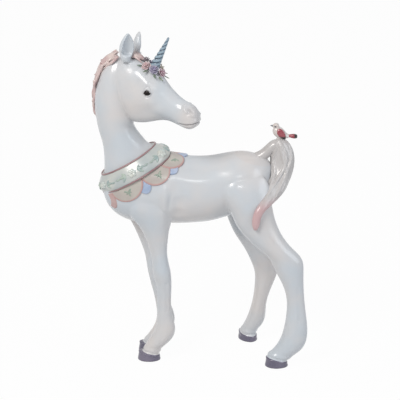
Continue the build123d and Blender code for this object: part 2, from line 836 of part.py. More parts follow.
# ---------------------------------------------------------------- wreath round the horn
# Forward, up, side on the head, share of the size, lean of the face: forward and sideways
blossom_places = {
    "blossom_plum": (-3.0, 21.4, 1.6, 0.95, -0.5, 0.25),
    "blossom_pale_pink": (1.2, 20.0, -4.6, 1.00, -0.2, -0.8),
    "blossom_violet": (8.2, 20.2, -4.4, 1.00, 0.3, -0.8),
    "blossom_rose": (13.2, 18.9, 0.2, 0.95, 0.9, 0.0),
    "blossom_cream": (8.4, 19.8, 4.8, 1.00, 0.3, 0.8),
    "blossom_lilac": (1.6, 20.2, 5.0, 0.95, -0.2, 0.8),
}
# Room for the horn at the middle of the wreath
with BuildPart() as horn_room:
    with Locations(horn_base):
        Cone(
            horn_root_radius * 1.28,
            horn_root_radius * 0.88,
            horn_length * 0.4,
            align=(Align.CENTER, Align.CENTER, Align.MIN),
        )

blossoms = {}
for name, (forward, up, side, size, forward_lean, side_lean) in blossom_places.items():
    facing = (face_up + face_forward * forward_lean + face_left * side_lean).normalized()
    place = Plane(origin=head_point(forward, up, side) - facing * blossom_thickness * 0.6, z_dir=facing)
    with BuildPart() as piece:
        add(blossom(place, blossom_radius * size, blossom_thickness, calyx_depth))
        add(skull, mode=Mode.SUBTRACT)
        add(horn_room.part, mode=Mode.SUBTRACT)
        for earlier in blossoms.values():
            add(earlier, mode=Mode.SUBTRACT)
    blossoms[name] = piece.part
    piece.part.label = name
    export_step(piece.part, f"parts/{name}.step")

# ---------------------------------------------------------------- mane and forelock
# The crest runs from the poll round the far side of the neck to the collar: an angle round each
# section of the neck, from its back (180) to its far side (90)
crest_angles = [104, 116, 130, 146, 160, 172, 182]


def crest_places():
    """Places on the crest with the outward direction there, from the collar up to the poll."""
    places = []
    for angle, (over, rise, tilt, half_depth, half_width) in zip(crest_angles, upper_neck_stations):
        plane = neck_plane(collar_x + over, collar_height + rise, tilt)
        turn = radians(angle)
        out = (plane.x_dir * cos(turn) + plane.y_dir * sin(turn)).normalized()
        spot = plane.origin + plane.x_dir * half_depth * cos(turn) + plane.y_dir * half_width * sin(turn)
        places.append((spot, out))
    return places


crest = crest_places()
with BuildPart() as mane:
    ridge = []
    for index, (spot, out) in enumerate(crest):
        ahead = crest[min(index + 1, len(crest) - 1)][0]
        behind = crest[max(index - 1, 0)][0]
        along = (ahead - behind).normalized()
        plane = Plane(origin=spot + out * 0.4, x_dir=out, z_dir=along)
        ridge.append(oval(plane, mane_rise, mane_half_width * (0.6 if index == 0 else 1.0)))
    loft(sections=ridge)
    # Locks that break away from the ridge, each curling outward at its end
    for index in range(1, len(crest)):
        spot, out = crest[index]
        below = crest[index - 1][0]
        fall = (below - spot).normalized()
        places = [
            spot + out * mane_rise * 0.5,
            spot + out * mane_rise * 0.95 + fall * lock_length * 0.4,
            spot + out * mane_rise * 1.15 + fall * lock_length * 0.8,
            spot + out * mane_rise * 1.7 + fall * lock_length,
        ]
        sections = []
        for step, (place, size) in enumerate(zip(places, (1.0, 0.9, 0.55, 0.15))):
            nearby = places[min(step + 1, 3)] - places[max(step - 1, 0)]
            plane = Plane(origin=place, x_dir=out.cross(nearby.normalized()), z_dir=nearby)
            sections.append(oval(plane, mane_half_width * 0.62 * size, mane_rise * 0.5 * size))
        loft(sections=sections)
    add(neck_piece.part, mode=Mode.SUBTRACT)
    add(head.part, mode=Mode.SUBTRACT)
    add(ear_left.part, mode=Mode.SUBTRACT)
    add(ear_right.part, mode=Mode.SUBTRACT)
    add(collar_band.part, mode=Mode.SUBTRACT)
    add(collar_piping_upper.part, mode=Mode.SUBTRACT)
mane.part.label = "mane"
export_step(mane.part, "parts/mane.step")

with BuildPart() as forelock:
    for side, reach in ((-2.0, 11.0), (0.4, 13.5), (2.6, 10.0)):
        start = head_point(-16.0, 19.5, side)
        places = [start, head_point(-12.0, 22.0, side), head_point(-16.0 + reach * 0.7, 21.4, side * 1.3),
                  head_point(-16.0 + reach, 20.4, side * 1.5)]
        sections = []
        for step, (place, size) in enumerate(zip(places, (1.5, 1.9, 1.3, 0.3))):
            nearby = places[min(step + 1, 3)] - places[max(step - 1, 0)]
            plane = Plane(origin=place, x_dir=face_left, z_dir=nearby)
            sections.append(oval(plane, size, size * 0.8))
        loft(sections=sections)
    add(skull, mode=Mode.SUBTRACT)
    for piece in (neck_piece, ear_left, ear_right, mane):
        add(piece.part, mode=Mode.SUBTRACT)
    for name in ("blossom_plum", "blossom_lilac", "blossom_pale_pink"):
        add(blossoms[name], mode=Mode.SUBTRACT)
forelock.part.label = "forelock"
export_step(forelock.part, "parts/forelock.step")

# Leaves under the blossoms
with BuildPart() as wreath_leaves:
    for forward, up, side in ((5.2, 16.4, -7.4), (11.6, 15.6, -5.0), (11.4, 15.6, 5.2), (4.4, 16.6, 7.6),
                              (-4.2, 18.8, -5.0)):
        spot = head_point(forward, up, side)
        away = (spot - head_point(horn_forward, up, 0)).normalized()
        facing = (face_up + face_left * (0.08 * side)).normalized()
        place = Plane(origin=spot - facing * 0.6, x_dir=away, z_dir=facing)
        with BuildSketch(place):
            Ellipse(leaf_length / 2, leaf_length * 0.24)
        extrude(amount=1.5)
    add(skull, mode=Mode.SUBTRACT)
    for petals in blossoms.values():
        add(petals, mode=Mode.SUBTRACT)
wreath_leaves.part.label = "wreath_leaves"
export_step(wreath_leaves.part, "parts/wreath_leaves.step")
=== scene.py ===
"""A standing unicorn foal in glazed porcelain, with a collar, a wreath and a small bird on its tail.

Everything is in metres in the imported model's own frame: +Z up, soles on Z = 0, the animal facing -X with
its left side towards -Y. Lengths written as mm(...) are millimetres.
"""
from math import cos, pi, radians, sin, sqrt

import bmesh
import bpy
import numpy as np
from mathutils import Matrix, Vector
from mathutils.bvhtree import BVHTree


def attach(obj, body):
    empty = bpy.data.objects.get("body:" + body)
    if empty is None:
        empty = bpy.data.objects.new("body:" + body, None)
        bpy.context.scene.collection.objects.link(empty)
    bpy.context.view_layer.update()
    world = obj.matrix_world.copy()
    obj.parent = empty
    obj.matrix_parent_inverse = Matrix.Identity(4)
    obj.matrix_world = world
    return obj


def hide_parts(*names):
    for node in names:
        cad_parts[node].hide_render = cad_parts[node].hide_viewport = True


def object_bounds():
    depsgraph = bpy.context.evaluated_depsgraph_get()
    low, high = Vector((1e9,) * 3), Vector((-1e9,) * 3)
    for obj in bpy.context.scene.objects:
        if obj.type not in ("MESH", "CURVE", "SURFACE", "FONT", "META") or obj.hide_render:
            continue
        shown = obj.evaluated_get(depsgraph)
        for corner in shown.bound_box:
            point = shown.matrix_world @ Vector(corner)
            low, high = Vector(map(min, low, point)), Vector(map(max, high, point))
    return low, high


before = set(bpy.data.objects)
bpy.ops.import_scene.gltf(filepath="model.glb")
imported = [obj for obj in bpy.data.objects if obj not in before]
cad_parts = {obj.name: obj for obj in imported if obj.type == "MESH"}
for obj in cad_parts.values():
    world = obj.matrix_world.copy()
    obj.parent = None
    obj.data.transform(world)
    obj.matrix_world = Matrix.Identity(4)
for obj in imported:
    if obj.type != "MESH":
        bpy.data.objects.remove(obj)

bl_info = {
    "name": "Porcelain unicorn foal",
    "version": (1, 0, 0),
    "blender": (4, 5, 0),
    "location": "View3D > Sidebar > Unicorn",
    "description": "Builds a glazed porcelain unicorn foal piece by piece round its packed model",
    "category": "Add Mesh",
}

BODY = "root"
CAD_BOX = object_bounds()
MM = 0.001                         # metres in a millimetre
PER_METRE = 1000                   # millimetres in a metre
FARWARD = Vector((0, 1, 0))        # to the animal's right, away from the camera
UPWARD = Vector((0, 0, 1))


def mm(*values):
    """Millimetres to metres: one number, or a vector of three."""
    if len(values) == 1:
        return values[0] * MM
    return Vector(values) * MM


def srgb(red, green, blue):
    """A colour read as 0 to 255 on screen, as the linear values that shaders take."""
    channels = []
    for value in (red, green, blue):
        share = value / 255
        channels.append(share / 12.92 if share <= 0.04045 else ((share + 0.055) / 1.055) ** 2.4)
    return tuple(channels)


# ---------------------------------------------------------------- places on the animal
MIDDLE = -2.8                      # the animal's middle plane, mm
HEAD_ORIGIN = mm(-44.6, MIDDLE - 8.0, 216.5)
HEAD_YAW = radians(28)             # the face points back along +X, turned and dipped by these angles
HEAD_PITCH = radians(20)
FORWARD = Vector((cos(HEAD_YAW) * cos(HEAD_PITCH), -sin(HEAD_YAW) * cos(HEAD_PITCH), -sin(HEAD_PITCH)))
LEFT = Vector((sin(HEAD_YAW), cos(HEAD_YAW), 0))     # the head looks back, so its own left is farward
UP = FORWARD.cross(LEFT)

COLLAR_TILT = radians(30)
COLLAR_MIDDLE = mm(-51.0, MIDDLE, 154.5)
TO_WITHERS = Vector((cos(COLLAR_TILT), 0, sin(COLLAR_TILT)))
RING_AXIS = Vector((-sin(COLLAR_TILT), 0, cos(COLLAR_TILT)))
HALF_BAND = 6.3
BAND_LOWER = (29.4, 22.6)          # half depth and half width of the ring along the band's lower edge, mm
BAND_MIDDLE = (29.3, 21.0)         # the same along the band's middle

# The tail's middle line from its top, with its half widths seen from the side and from behind
TAIL_LINE = [
    ((59.6, 0, 175.3), 1.6, 1.8),
    ((60, 0, 172.9), 5.2, 4.4),
    ((61.4, 0, 168), 7.3, 5.8),
    ((62.6, 0, 160.5), 8.4, 6.4),
    ((62, -1.5, 153), 8.1, 6.4),
    ((60.4, -5, 146), 7.2, 6),
    ((57, -11, 139.5), 6.6, 5.2),
    ((52.5, -18, 134), 5.2, 4.4),
    ((47.7, -24.5, 129.7), 4.4, 3.8),
    ((44.2, -27.4, 125.9), 4, 3.4),
    ((42.4, -28.4, 121), 3.9, 3.1),
    ((41.8, -28.6, 116), 3.5, 2.9),
    ((41.6, -28.6, 112.5), 1.7, 1.5),
]

# The crest, from the collar to the poll: middle of the neck there (over, rise from the collar's middle),
# tilt, half depth, half width, and the angle round the section at which the mane stands
CREST_LINE = [
    (-6.6, 17, 15, 15.8, 13.6, 104),
    (-10.6, 26.5, 6, 14, 13, 116),
    (-13.3, 36.5, 0, 13.6, 13.2, 130),
    (-13.8, 48, -6, 14.2, 13.6, 146),
    (-12, 60, -14, 14.4, 13, 160),
    (-8.8, 71, -28, 13.4, 11, 172),
    (-4.5, 79, -42, 9, 7.5, 182),
]


def head_point(forward, up, side):
    """A place on the head: forward along the face, up through the forehead, side to its own left."""
    return HEAD_ORIGIN + (FORWARD * forward + UP * up + LEFT * side) * MM


def ring_place(angle, rise, half_sizes):
    """A place on the ring round the neck, and the direction square to the ring there."""
    deep, wide = half_sizes
    turn = radians(angle)
    place = COLLAR_MIDDLE + RING_AXIS * mm(rise)
    place = place + (TO_WITHERS * deep * cos(turn) - FARWARD * wide * sin(turn)) * MM
    return place, (TO_WITHERS * wide * cos(turn) - FARWARD * deep * sin(turn)).normalized()


def ring_frame(angle):
    """Directions on the band at an angle round the ring, along the ring and up the neck; and its place."""
    place, outward = ring_place(angle, 0, BAND_MIDDLE)
    return RING_AXIS.cross(outward), RING_AXIS, place


def hanging_frame(angle, lean):
    """Directions across and up a lappet hung at an angle round the ring, and its place on the ring."""
    place, square = ring_place(angle, -HALF_BAND, BAND_LOWER)
    outward = square * cos(radians(lean)) + RING_AXIS * sin(radians(lean))
    across = RING_AXIS.cross(square)
    return across, outward.cross(across), place


# ---------------------------------------------------------------- sizes and colours a user would change
def length_property(name, description, default, smallest=0):
    """A length in metres."""
    return bpy.props.FloatProperty(
        name=name, description=description, default=default, min=smallest, unit="LENGTH"
    )


class UnicornSizes(bpy.types.PropertyGroup):
    """Sizes of the surface detail"""

    skin_grain: length_property("Skin detail", "Spacing of points on the porcelain skin", 0.0006, 0.0004)
    fine_grain: length_property("Fine detail", "Spacing of points on the hair and lappets", 0.0004, 0.0002)
    strand_radius: length_property("Hair strand", "Radius of a strand of the tail at its thickest", 0.0019)
    petal_thickness: length_property("Petal thickness", "Thickness of the blossoms' petals", 0.0004)
    camera_distance: length_property("Camera distance", "From the camera to the figurine's middle", 1.25)
    camera_height: bpy.props.FloatProperty(
        name="Camera elevation", description="Angle of the view below the horizon",
        default=radians(17), subtype="ANGLE",
    )


def colour_property(name, description, red, green, blue):
    """A colour given as 0 to 255 on screen."""
    return bpy.props.FloatVectorProperty(
        name=name, description=description, subtype="COLOR", size=3, min=0, max=1,
        default=srgb(red, green, blue),
    )


class UnicornColours(bpy.types.PropertyGroup):
    """Colours of the glazes"""

    white: colour_property("White glaze", "The porcelain skin", 216, 212, 210)
    # A bluish tint clouded into the white skin glaze: partly the glaze's own tone, partly painted cool
    # reflections of the lamps and the room.
    cool_tone_and_sheen: colour_property("Shade glaze", "Cool tone where the white glaze lies thick", 201, 208, 214)
    # A beige tint on the muzzle and clouded into the bird's white: partly the glaze's own tone, partly
    # painted reflections of beige light.
    warm_tone_and_sheen: colour_property("Warm glaze", "Warm tone where the white glaze lies thin", 214, 203, 196)
    hoof: colour_property("Hooves", "Violet grey of the hooves", 122, 116, 134)
    eye: colour_property("Eyes", "Dark brown of the eyes", 14, 8, 6)
    horn: colour_property("Horn", "Slate blue in the grooves of the horn", 50, 70, 88)
    horn_ridge: colour_property("Horn ridges", "Pale ridges of the horn", 156, 178, 192)
    mane: colour_property("Mane", "Dusty pink of the mane and forelock", 200, 172, 171)
    tail_end: colour_property("Tail end", "Pink end of the tail", 206, 164, 166)
    band: colour_property("Collar band", "Pale green blue of the band", 182, 190, 190)
    piping: colour_property("Piping", "Rose brown of the collar's pipings", 146, 112, 116)
    lappet: colour_property("Lappets", "Cream of the lappets", 192, 187, 178)
    lappet_rim: colour_property("Lappet rims", "Pink rims of the lappets", 192, 152, 148)
    under_pink: colour_property("Breast under-lappets", "Pink of the layer beneath", 190, 152, 150)
    under_blue: colour_property("Side under-lappets", "Light blue of the layer beneath", 154, 174, 204)
    sprig: colour_property("Sprigs", "Grey green of the sprigs on the lappets", 142, 160, 148)
    plum: colour_property("Plum blossom", "Darkest blossom of the wreath", 112, 84, 100)
    pink: colour_property("Pink blossoms", "Pale pink blossoms", 214, 180, 182)
    violet: colour_property("Violet blossoms", "Violet blossoms", 150, 140, 175)
    rose: colour_property("Rose blossom", "Dusty rose blossom before the horn", 190, 150, 165)
    cream: colour_property("Cream blossom", "Cream blossom on the far side", 222, 210, 188)
    leaf: colour_property("Leaves", "Green of the leaves in the wreath", 112, 128, 116)
    wing: colour_property("Wings", "Rose red of the bird's wings and tail", 150, 62, 74)
    wing_tip: colour_property("Wing tips", "Black tips of the wings and tail", 30, 24, 28)
    beak: colour_property("Beak", "Grey of the beak and the marks round the eyes", 104, 106, 112)


def sizes():
    """The sizes as they are set in the scene."""
    return bpy.context.scene.unicorn_sizes


def colours():
    """The colours as they are set in the scene."""
    return bpy.context.scene.unicorn_colours


# ---------------------------------------------------------------- glazes
SPECK_SCALE = 260                  # specks and ripples to the metre
RIPPLE_SCALE = 90
GLOSS_SPREAD = 0.05


def connect(tree, node, inputs):
    """Sets a node's inputs to numbers or colours, or links them to the outputs of other nodes."""
    for socket, value in inputs.items():
        if isinstance(value, bpy.types.NodeSocket):
            tree.links.new(value, node.inputs[socket])
        else:
            node.inputs[socket].default_value = value


def add_node(tree, kind, inputs, **settings):
    """A new shader node with its settings made and its inputs connected."""
    node = tree.nodes.new(f"ShaderNode{kind}")
    for name, value in settings.items():
        setattr(node, name, value)
    connect(tree, node, inputs)
    return node


def glaze_group():
    """Shared cloudiness of a glaze: two tones, a slightly uneven gloss and a soft ripple. On the white skin
    glaze the second tone is partly a painted cool reflection.
    """
    group = bpy.data.node_groups.get("glaze_cloud")
    if group:
        return group
    group = bpy.data.node_groups.new("glaze_cloud", "ShaderNodeTree")
    for name, kind, way in (
        ("Thin", "Color", "INPUT"), ("Thick", "Color", "INPUT"),
        ("Cloud Size", "Float", "INPUT"), ("Gloss", "Float", "INPUT"),
        ("Color", "Color", "OUTPUT"), ("Roughness", "Float", "OUTPUT"), ("Ripple", "Float", "OUTPUT"),
    ):
        group.interface.new_socket(name, in_out=way, socket_type=f"NodeSocket{kind}")
    given = group.nodes.new("NodeGroupInput").outputs
    where = add_node(group, "TexCoord", {}).outputs["Object"]
    cloud = add_node(group, "TexNoise", {"Vector": where, "Scale": given["Cloud Size"], "Detail": 3})
    span = add_node(group, "MapRange", {"Value": cloud.outputs["Fac"], "From Min": 0.35, "From Max": 0.65})
    tones = {"Factor": span.outputs["Result"], "A": given["Thin"], "B": given["Thick"]}
    tone = add_node(group, "Mix", tones, data_type="RGBA")
    speck = add_node(group, "TexNoise", {"Vector": where, "Scale": SPECK_SCALE})
    gloss = {0: speck.outputs["Fac"], 1: GLOSS_SPREAD, 2: given["Gloss"]}
    uneven = add_node(group, "Math", gloss, operation="MULTIPLY_ADD")
    ripple = add_node(group, "TexNoise", {"Vector": where, "Scale": RIPPLE_SCALE, "Detail": 1})
    connect(group, group.nodes.new("NodeGroupOutput"), {
        "Color": tone.outputs["Result"],
        "Roughness": uneven.outputs["Value"],
        "Ripple": ripple.outputs["Fac"],
    })
    return group


def glaze(name, thin, thick, cloud_size=30.0, gloss=0.20, marks=(), ripple=0.00008, coat=0.25, shine=0.5):
    """A glossy glaze. marks are (attribute, colour) pairs painted over it where the attribute is 1."""
    material = bpy.data.materials.get(name)
    if material:
        return material
    material = bpy.data.materials.new(name)
    material.use_nodes = True
    tree = material.node_tree
    given = {"Thin": (*thin, 1), "Thick": (*thick, 1), "Cloud Size": cloud_size, "Gloss": gloss}
    cloud = add_node(tree, "Group", given, node_tree=glaze_group())
    colour = cloud.outputs["Color"]
    for attribute, paint in marks:
        mark = add_node(tree, "Attribute", {}, attribute_name=attribute)
        layers = {"Factor": mark.outputs["Fac"], "A": colour, "B": (*paint, 1)}
        colour = add_node(tree, "Mix", layers, data_type="RGBA").outputs["Result"]
    bump = add_node(tree, "Bump", {"Strength": 1, "Distance": ripple, "Height": cloud.outputs["Ripple"]})
    connect(tree, tree.nodes["Principled BSDF"], {
        "Base Color": colour,
        "Roughness": cloud.outputs["Roughness"],
        "Normal": bump.outputs["Normal"],
        "Coat Weight": coat,
        "Coat Roughness": 0.11,
        "Specular IOR Level": shine,
        "IOR": 1.5,
    })
    return material


def porcelain():
    """The white glaze of the skin, clouded with a bluish tint that is partly its own tone and partly a
    painted cool reflection.
    """
    return glaze("white_glaze", colours().white, colours().cool_tone_and_sheen, 24)


def face_glaze():
    """White glaze with the painted lids, nostrils and mouth, and a beige tint on the muzzle that is partly
    its own tone and partly a painted reflection.
    """
    return glaze(
        "face_glaze", colours().white, colours().cool_tone_and_sheen, 24,
        marks=(("soft", colours().warm_tone_and_sheen), ("line", srgb(112, 106, 110))),
    )


# ---------------------------------------------------------------- making and finishing pieces
def cad_copy(*names):
    """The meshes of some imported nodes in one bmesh, their loose triangles joined up."""
    bm = bmesh.new()
    for name in names:
        bm.from_mesh(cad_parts[name].data)
    bmesh.ops.remove_doubles(bm, verts=bm.verts, dist=1e-6)
    return bm


def mesh_of(bm, name="work"):
    """The bmesh as a mesh; the bmesh is used up."""
    mesh = bpy.data.meshes.new(name)
    bm.to_mesh(mesh)
    bm.free()
    return mesh


def bmesh_of(*meshes):
    """All of the meshes as one bmesh; the meshes are used up."""
    bm = bmesh.new()
    for mesh in meshes:
        bm.from_mesh(mesh)
        bpy.data.meshes.remove(mesh)
    return bm


def joined(*parts):
    """Several bmeshes as one."""
    return bmesh_of(*[mesh_of(part) for part in parts])


def linked(name, data):
    """A new object in the scene that shows the data."""
    item = bpy.data.objects.new(name, data)
    bpy.context.scene.collection.objects.link(item)
    return item


def evaluated(holder):
    """The mesh that an object comes to; the object is removed."""
    graph = bpy.context.evaluated_depsgraph_get()
    mesh = bpy.data.meshes.new_from_object(holder.evaluated_get(graph))
    bpy.data.objects.remove(holder)
    return mesh


def modified(mesh, kind, **values):
    """The mesh after one modifier."""
    holder = linked("holder", mesh)
    modifier = holder.modifiers.new(kind, kind)
    for key, value in values.items():
        setattr(modifier, key, value)
    result = evaluated(holder)
    bpy.data.meshes.remove(mesh)
    return result


def thickened(bm, thickness):
    """Petals or leaves as a mesh of a thickness, rounded once."""
    mesh = modified(mesh_of(bm), "SOLIDIFY", thickness=thickness, offset=0)
    return modified(mesh, "SUBSURF", levels=1, render_levels=1)


def outer_shell(bm):
    """Leaves only the largest connected surface."""
    groups = []
    unseen = dict.fromkeys(bm.verts)
    while unseen:
        reached = [unseen.popitem()[0]]
        for vertex in reached:
            for edge in vertex.link_edges:
                other = edge.other_vert(vertex)
                if other in unseen:
                    del unseen[other]
                    reached.append(other)
        groups.append(reached)
    groups.sort(key=len)
    for group in groups[:-1]:
        bmesh.ops.delete(bm, geom=group, context="VERTS")


def cast(bm, grain, whole=False):
    """Closed skins over everything in the bmesh; only the largest is kept unless whole is set."""
    skin = bmesh_of(modified(mesh_of(bm), "REMESH", mode="VOXEL", voxel_size=grain))
    if not whole:
        outer_shell(skin)
    return mesh_of(skin)


def read_rows(items, name, width=1, kind=float):
    """A property of all the items: an array of numbers, or rows of them where each has several."""
    values = np.empty(len(items) * width, kind)
    items.foreach_get(name, values)
    return values.reshape(-1, width) if width > 1 else values


def read_points(mesh):
    """The mesh's points as rows of X, Y and Z."""
    return read_rows(mesh.vertices, "co", 3)


def read_normals(mesh):
    """The direction square to the surface at each point."""
    return read_rows(mesh.vertex_normals, "vector", 3)


def write_points(mesh, points):
    """Moves the mesh's points to the rows of X, Y and Z."""
    mesh.vertices.foreach_set("co", points.ravel())
    mesh.update()


def relax(mesh, rounds, weight=1.0, swell=0.52):
    """Smooths the points towards their neighbours, then swells them back so that nothing shrinks."""
    points = read_points(mesh)
    count = len(points)
    first, second = read_rows(mesh.edges, "vertices", 2, np.int64).T
    degree = np.maximum(np.bincount(first, minlength=count) + np.bincount(second, minlength=count), 1)
    weight = np.broadcast_to(np.asarray(weight, float), (count,))
    for _ in range(rounds):
        for step in (0.5, -swell):
            for axis in range(3):
                line = points[:, axis]
                total = np.bincount(first, line[second], count) + np.bincount(second, line[first], count)
                points[:, axis] = line + (total / degree - line) * step * weight
    write_points(mesh, points)


def cast_node(name, grain, rounds, strands=(), whole=False):
    """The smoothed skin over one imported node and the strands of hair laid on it."""
    form = cad_copy(name)
    if strands:
        form = joined(form, tubes(strands))
    mesh = cast(form, grain, whole)
    relax(mesh, rounds)
    return mesh


def surface_of(mesh):
    """A search tree for the nearest place on a mesh."""
    bm = bmesh.new()
    bm.from_mesh(mesh)
    tree = BVHTree.FromBMesh(bm)
    bm.free()
    return tree


def keep_inside(mesh):
    """Holds the points within the box of the solid model."""
    low, high = CAD_BOX
    write_points(mesh, np.clip(read_points(mesh), low, high))


def bell(values, middle, width):
    """1 at the middle value, falling away on both sides."""
    return np.exp(-(((values - middle) / width) ** 2))


def smooth_step(low, high, values):
    """0 up to the low value, 1 from the high one, and an even rise between them."""
    share = np.clip((values - low) / (high - low), 0, 1)
    return share * share * (3 - 2 * share)


def paint(mesh, name, values):
    """Keeps a number per point on the mesh, which a glaze reads as a painted mask."""
    layer = mesh.attributes.get(name) or mesh.attributes.new(name, "FLOAT", "POINT")
    layer.data.foreach_set("value", np.asarray(values, np.float32))


def laid_on(bm, surface, axes):
    """Lays a flat ornament on a surface: its X and Y run along it and its Z is the height above it."""
    across, up, place = axes
    for vertex in bm.verts:
        x, y, height = vertex.co
        target = place + across * x + up * y
        spot, normal, _, _ = surface.find_nearest(target)
        vertex.co = spot + normal * height
    return bm


def moved(bm, x, y, turn=0.0, rise=0.0):
    """The bmesh turned in its own plane, then shifted."""
    bmesh.ops.rotate(bm, verts=bm.verts, cent=(0, 0, 0), matrix=Matrix.Rotation(turn, 3, "Z"))
    bmesh.ops.translate(bm, verts=bm.verts, vec=(x, y, rise))
    return bm


def stood_at(bm, place, facing):
    """Moves a bmesh to a place, its own Z turned to the facing direction."""
    turn = facing.to_track_quat("Z", "Y").to_matrix().to_4x4()
    bmesh.ops.transform(bm, matrix=Matrix.Translation(place) @ turn, verts=bm.verts)
    return bm


def show(name, mesh, material, replaces=(), body=BODY):
    """Links a finished mesh as a named piece that rides on the body."""
    mesh.name = f"glazed_{name}"
    mesh.materials.clear()
    mesh.materials.append(material)
    mesh.shade_smooth()
    piece = linked(f"glazed_{name}", mesh)
    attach(piece, body)
    if replaces:
        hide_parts(*replaces)


def tubes(lines):
    """Round tapering strands through points, as one bmesh. Each line is a list of (place, radius)."""
    curve = bpy.data.curves.new("strands", "CURVE")
    curve.dimensions = "3D"
    curve.bevel_depth = 1.0
    curve.bevel_resolution = 3
    curve.resolution_u = 4
    curve.use_fill_caps = True
    for line in lines:
        spline = curve.splines.new("NURBS")
        spline.points.add(len(line) - 1)
        for point, (place, radius) in zip(spline.points, line):
            point.co = (*place, 1)
            point.radius = radius
        spline.order_u = 4
        spline.use_endpoint_u = True
    bm = bmesh_of(evaluated(linked("strands", curve)))
    bpy.data.curves.remove(curve)
    bmesh.ops.remove_doubles(bm, verts=bm.verts, dist=1e-7)
    return bm


# ---------------------------------------------------------------- the porcelain skin
LEGS = ("fore_leg_left", "fore_leg_right", "hind_leg_left", "hind_leg_right")
SKIN_NODES = ("torso", "neck", "head", "ear_left", "ear_right", *LEGS)
LEG_SEAM = 104.0                   # height of the seam between the trunk and the legs, mm
HEAD_SEAM = -9.0                   # seams behind the head, under the jaw and under the ears, on the head, mm
JAW_SEAM = -28.0
EAR_SEAM = 21.5
EAR_FRONT = -5.0                   # the ears lie behind this place on the head, mm
HIND_PARTING = 3.0                 # how far the hind legs' parting lies beyond the middle plane, mm
# Middle of each hoof on the floor and the angle its toe is turned out
HOOVES = {
    "fore_hoof_left": (-39.6, MIDDLE - 9.4, 0),
    "fore_hoof_right": (-39.6, MIDDLE + 9.4, 0),
    "hind_hoof_left": (59.0, MIDDLE - 23.0, 0),
    "hind_hoof_right": (38.4, MIDDLE + 33.0, 52),
}
CORONET = 6.6                      # height of the coronet over the middle of the hoof, mm
CORONET_SLOPE = radians(13)
CORONET_STEPS = ((-0.9, 0.9, 0.40), (0.7, 0.7, -0.30), (2.9, 1.3, 0.45))  # level, width and lift, mm
FOOT_REACH = 16                    # everything so near a hoof's middle belongs to that foot, mm
EYE = (12.2, 4.2)                  # forward, up, on the head
EYE_SLANT = radians(26)
EYE_LENGTH = 2.7                   # half of the eye's length; its height over and under the long axis, mm
EYE_TOP = 2.1
EYE_BOTTOM = 1.6
EYE_CORNERS = 2.3                  # 2 would make the eye an ellipse; more fills its corners
EYE_RELIEF = 0.35                  # how far the eye stands out of the skin and goes into it, mm
EYE_ROOT = 0.6
EYE_MARGIN = 0.1                   # how far the eye runs under its lids, mm
EYE_ASIDE = 12                     # far enough from the head's middle plane to be outside the cheek, mm
NOSTRIL = (45.8, 4.7)              # forward, up, on the head
NOSTRIL_SLANT = radians(-16)
NOSTRIL_HALVES = (3.4, 1.4)        # half of its length and of its height, mm
MOUTH_LINE = [(42.0, -7.9), (46.6, -6.4), (51.0, -4.1), (54.6, -1.5)]


def on_head(points):
    """Forward, up and side of each point on the head, in millimetres."""
    rel = (points - np.array(HEAD_ORIGIN)) * PER_METRE
    return rel @ np.array(FORWARD), rel @ np.array(UP), rel @ np.array(LEFT)


def along_path(points, path):
    """Distance of each point from a path, in space or in a plane."""
    nearest = np.full(len(points), 1e9)
    for start, end in zip(np.array(path), np.array(path[1:])):
        span = end - start
        share = np.clip((points - start) @ span / (span @ span), 0, 1)
        nearest = np.minimum(nearest, np.linalg.norm(points - start - share[:, None] * span, axis=1))
    return nearest


def refine(bm, spots):
    """Divides the faces round each place once more: (place, radius) in metres."""
    for place, radius in spots:
        edges = [e for e in bm.edges if all((v.co - place).length < radius for v in e.verts)]
        bmesh.ops.subdivide_edges(bm, edges=edges, cuts=1, use_grid_fill=True)


def turned(forward, up, middle, slant):
    """Forward and up as measured from a middle, along and across a slanting axis."""
    along = (forward - middle[0]) * cos(slant) + (up - middle[1]) * sin(slant)
    across = -(forward - middle[0]) * sin(slant) + (up - middle[1]) * cos(slant)
    return along, across


def almond(forward, up):
    """1 at the middle of the eye, 0 along its lids and negative outside; and the place along the eye."""
    x, y = turned(forward, up, EYE, EYE_SLANT)
    height = np.where(y > 0, EYE_TOP, EYE_BOTTOM)
    return 1 - (np.abs(x) / EYE_LENGTH) ** EYE_CORNERS - np.abs(y) / height, x


def eye_lens(surface, side):
    """The raised, almond shaped eye laid on the cheek; side is 1 for the left and -1 for the right."""
    bm = bmesh.new()
    bmesh.ops.create_uvsphere(bm, u_segments=40, v_segments=20, radius=1)
    for vertex in bm.verts:
        x, y, z = vertex.co
        corner = max(0.0, 1 - abs(x) ** EYE_CORNERS) / max(sqrt(max(0.0, 1 - x * x)), 1e-3)
        high = EYE_TOP if y > 0 else EYE_BOTTOM
        lift = EYE_RELIEF if z > 0 else EYE_ROOT
        vertex.co = mm(x * (EYE_LENGTH + EYE_MARGIN), y * corner * (high + EYE_MARGIN), z * lift)
    across = FORWARD * cos(EYE_SLANT) + UP * sin(EYE_SLANT)
    up = UP * cos(EYE_SLANT) - FORWARD * sin(EYE_SLANT)
    laid_on(bm, surface, (across, up, head_point(*EYE, EYE_ASIDE * side)))
    bmesh.ops.recalc_face_normals(bm, faces=bm.faces)
    return bm


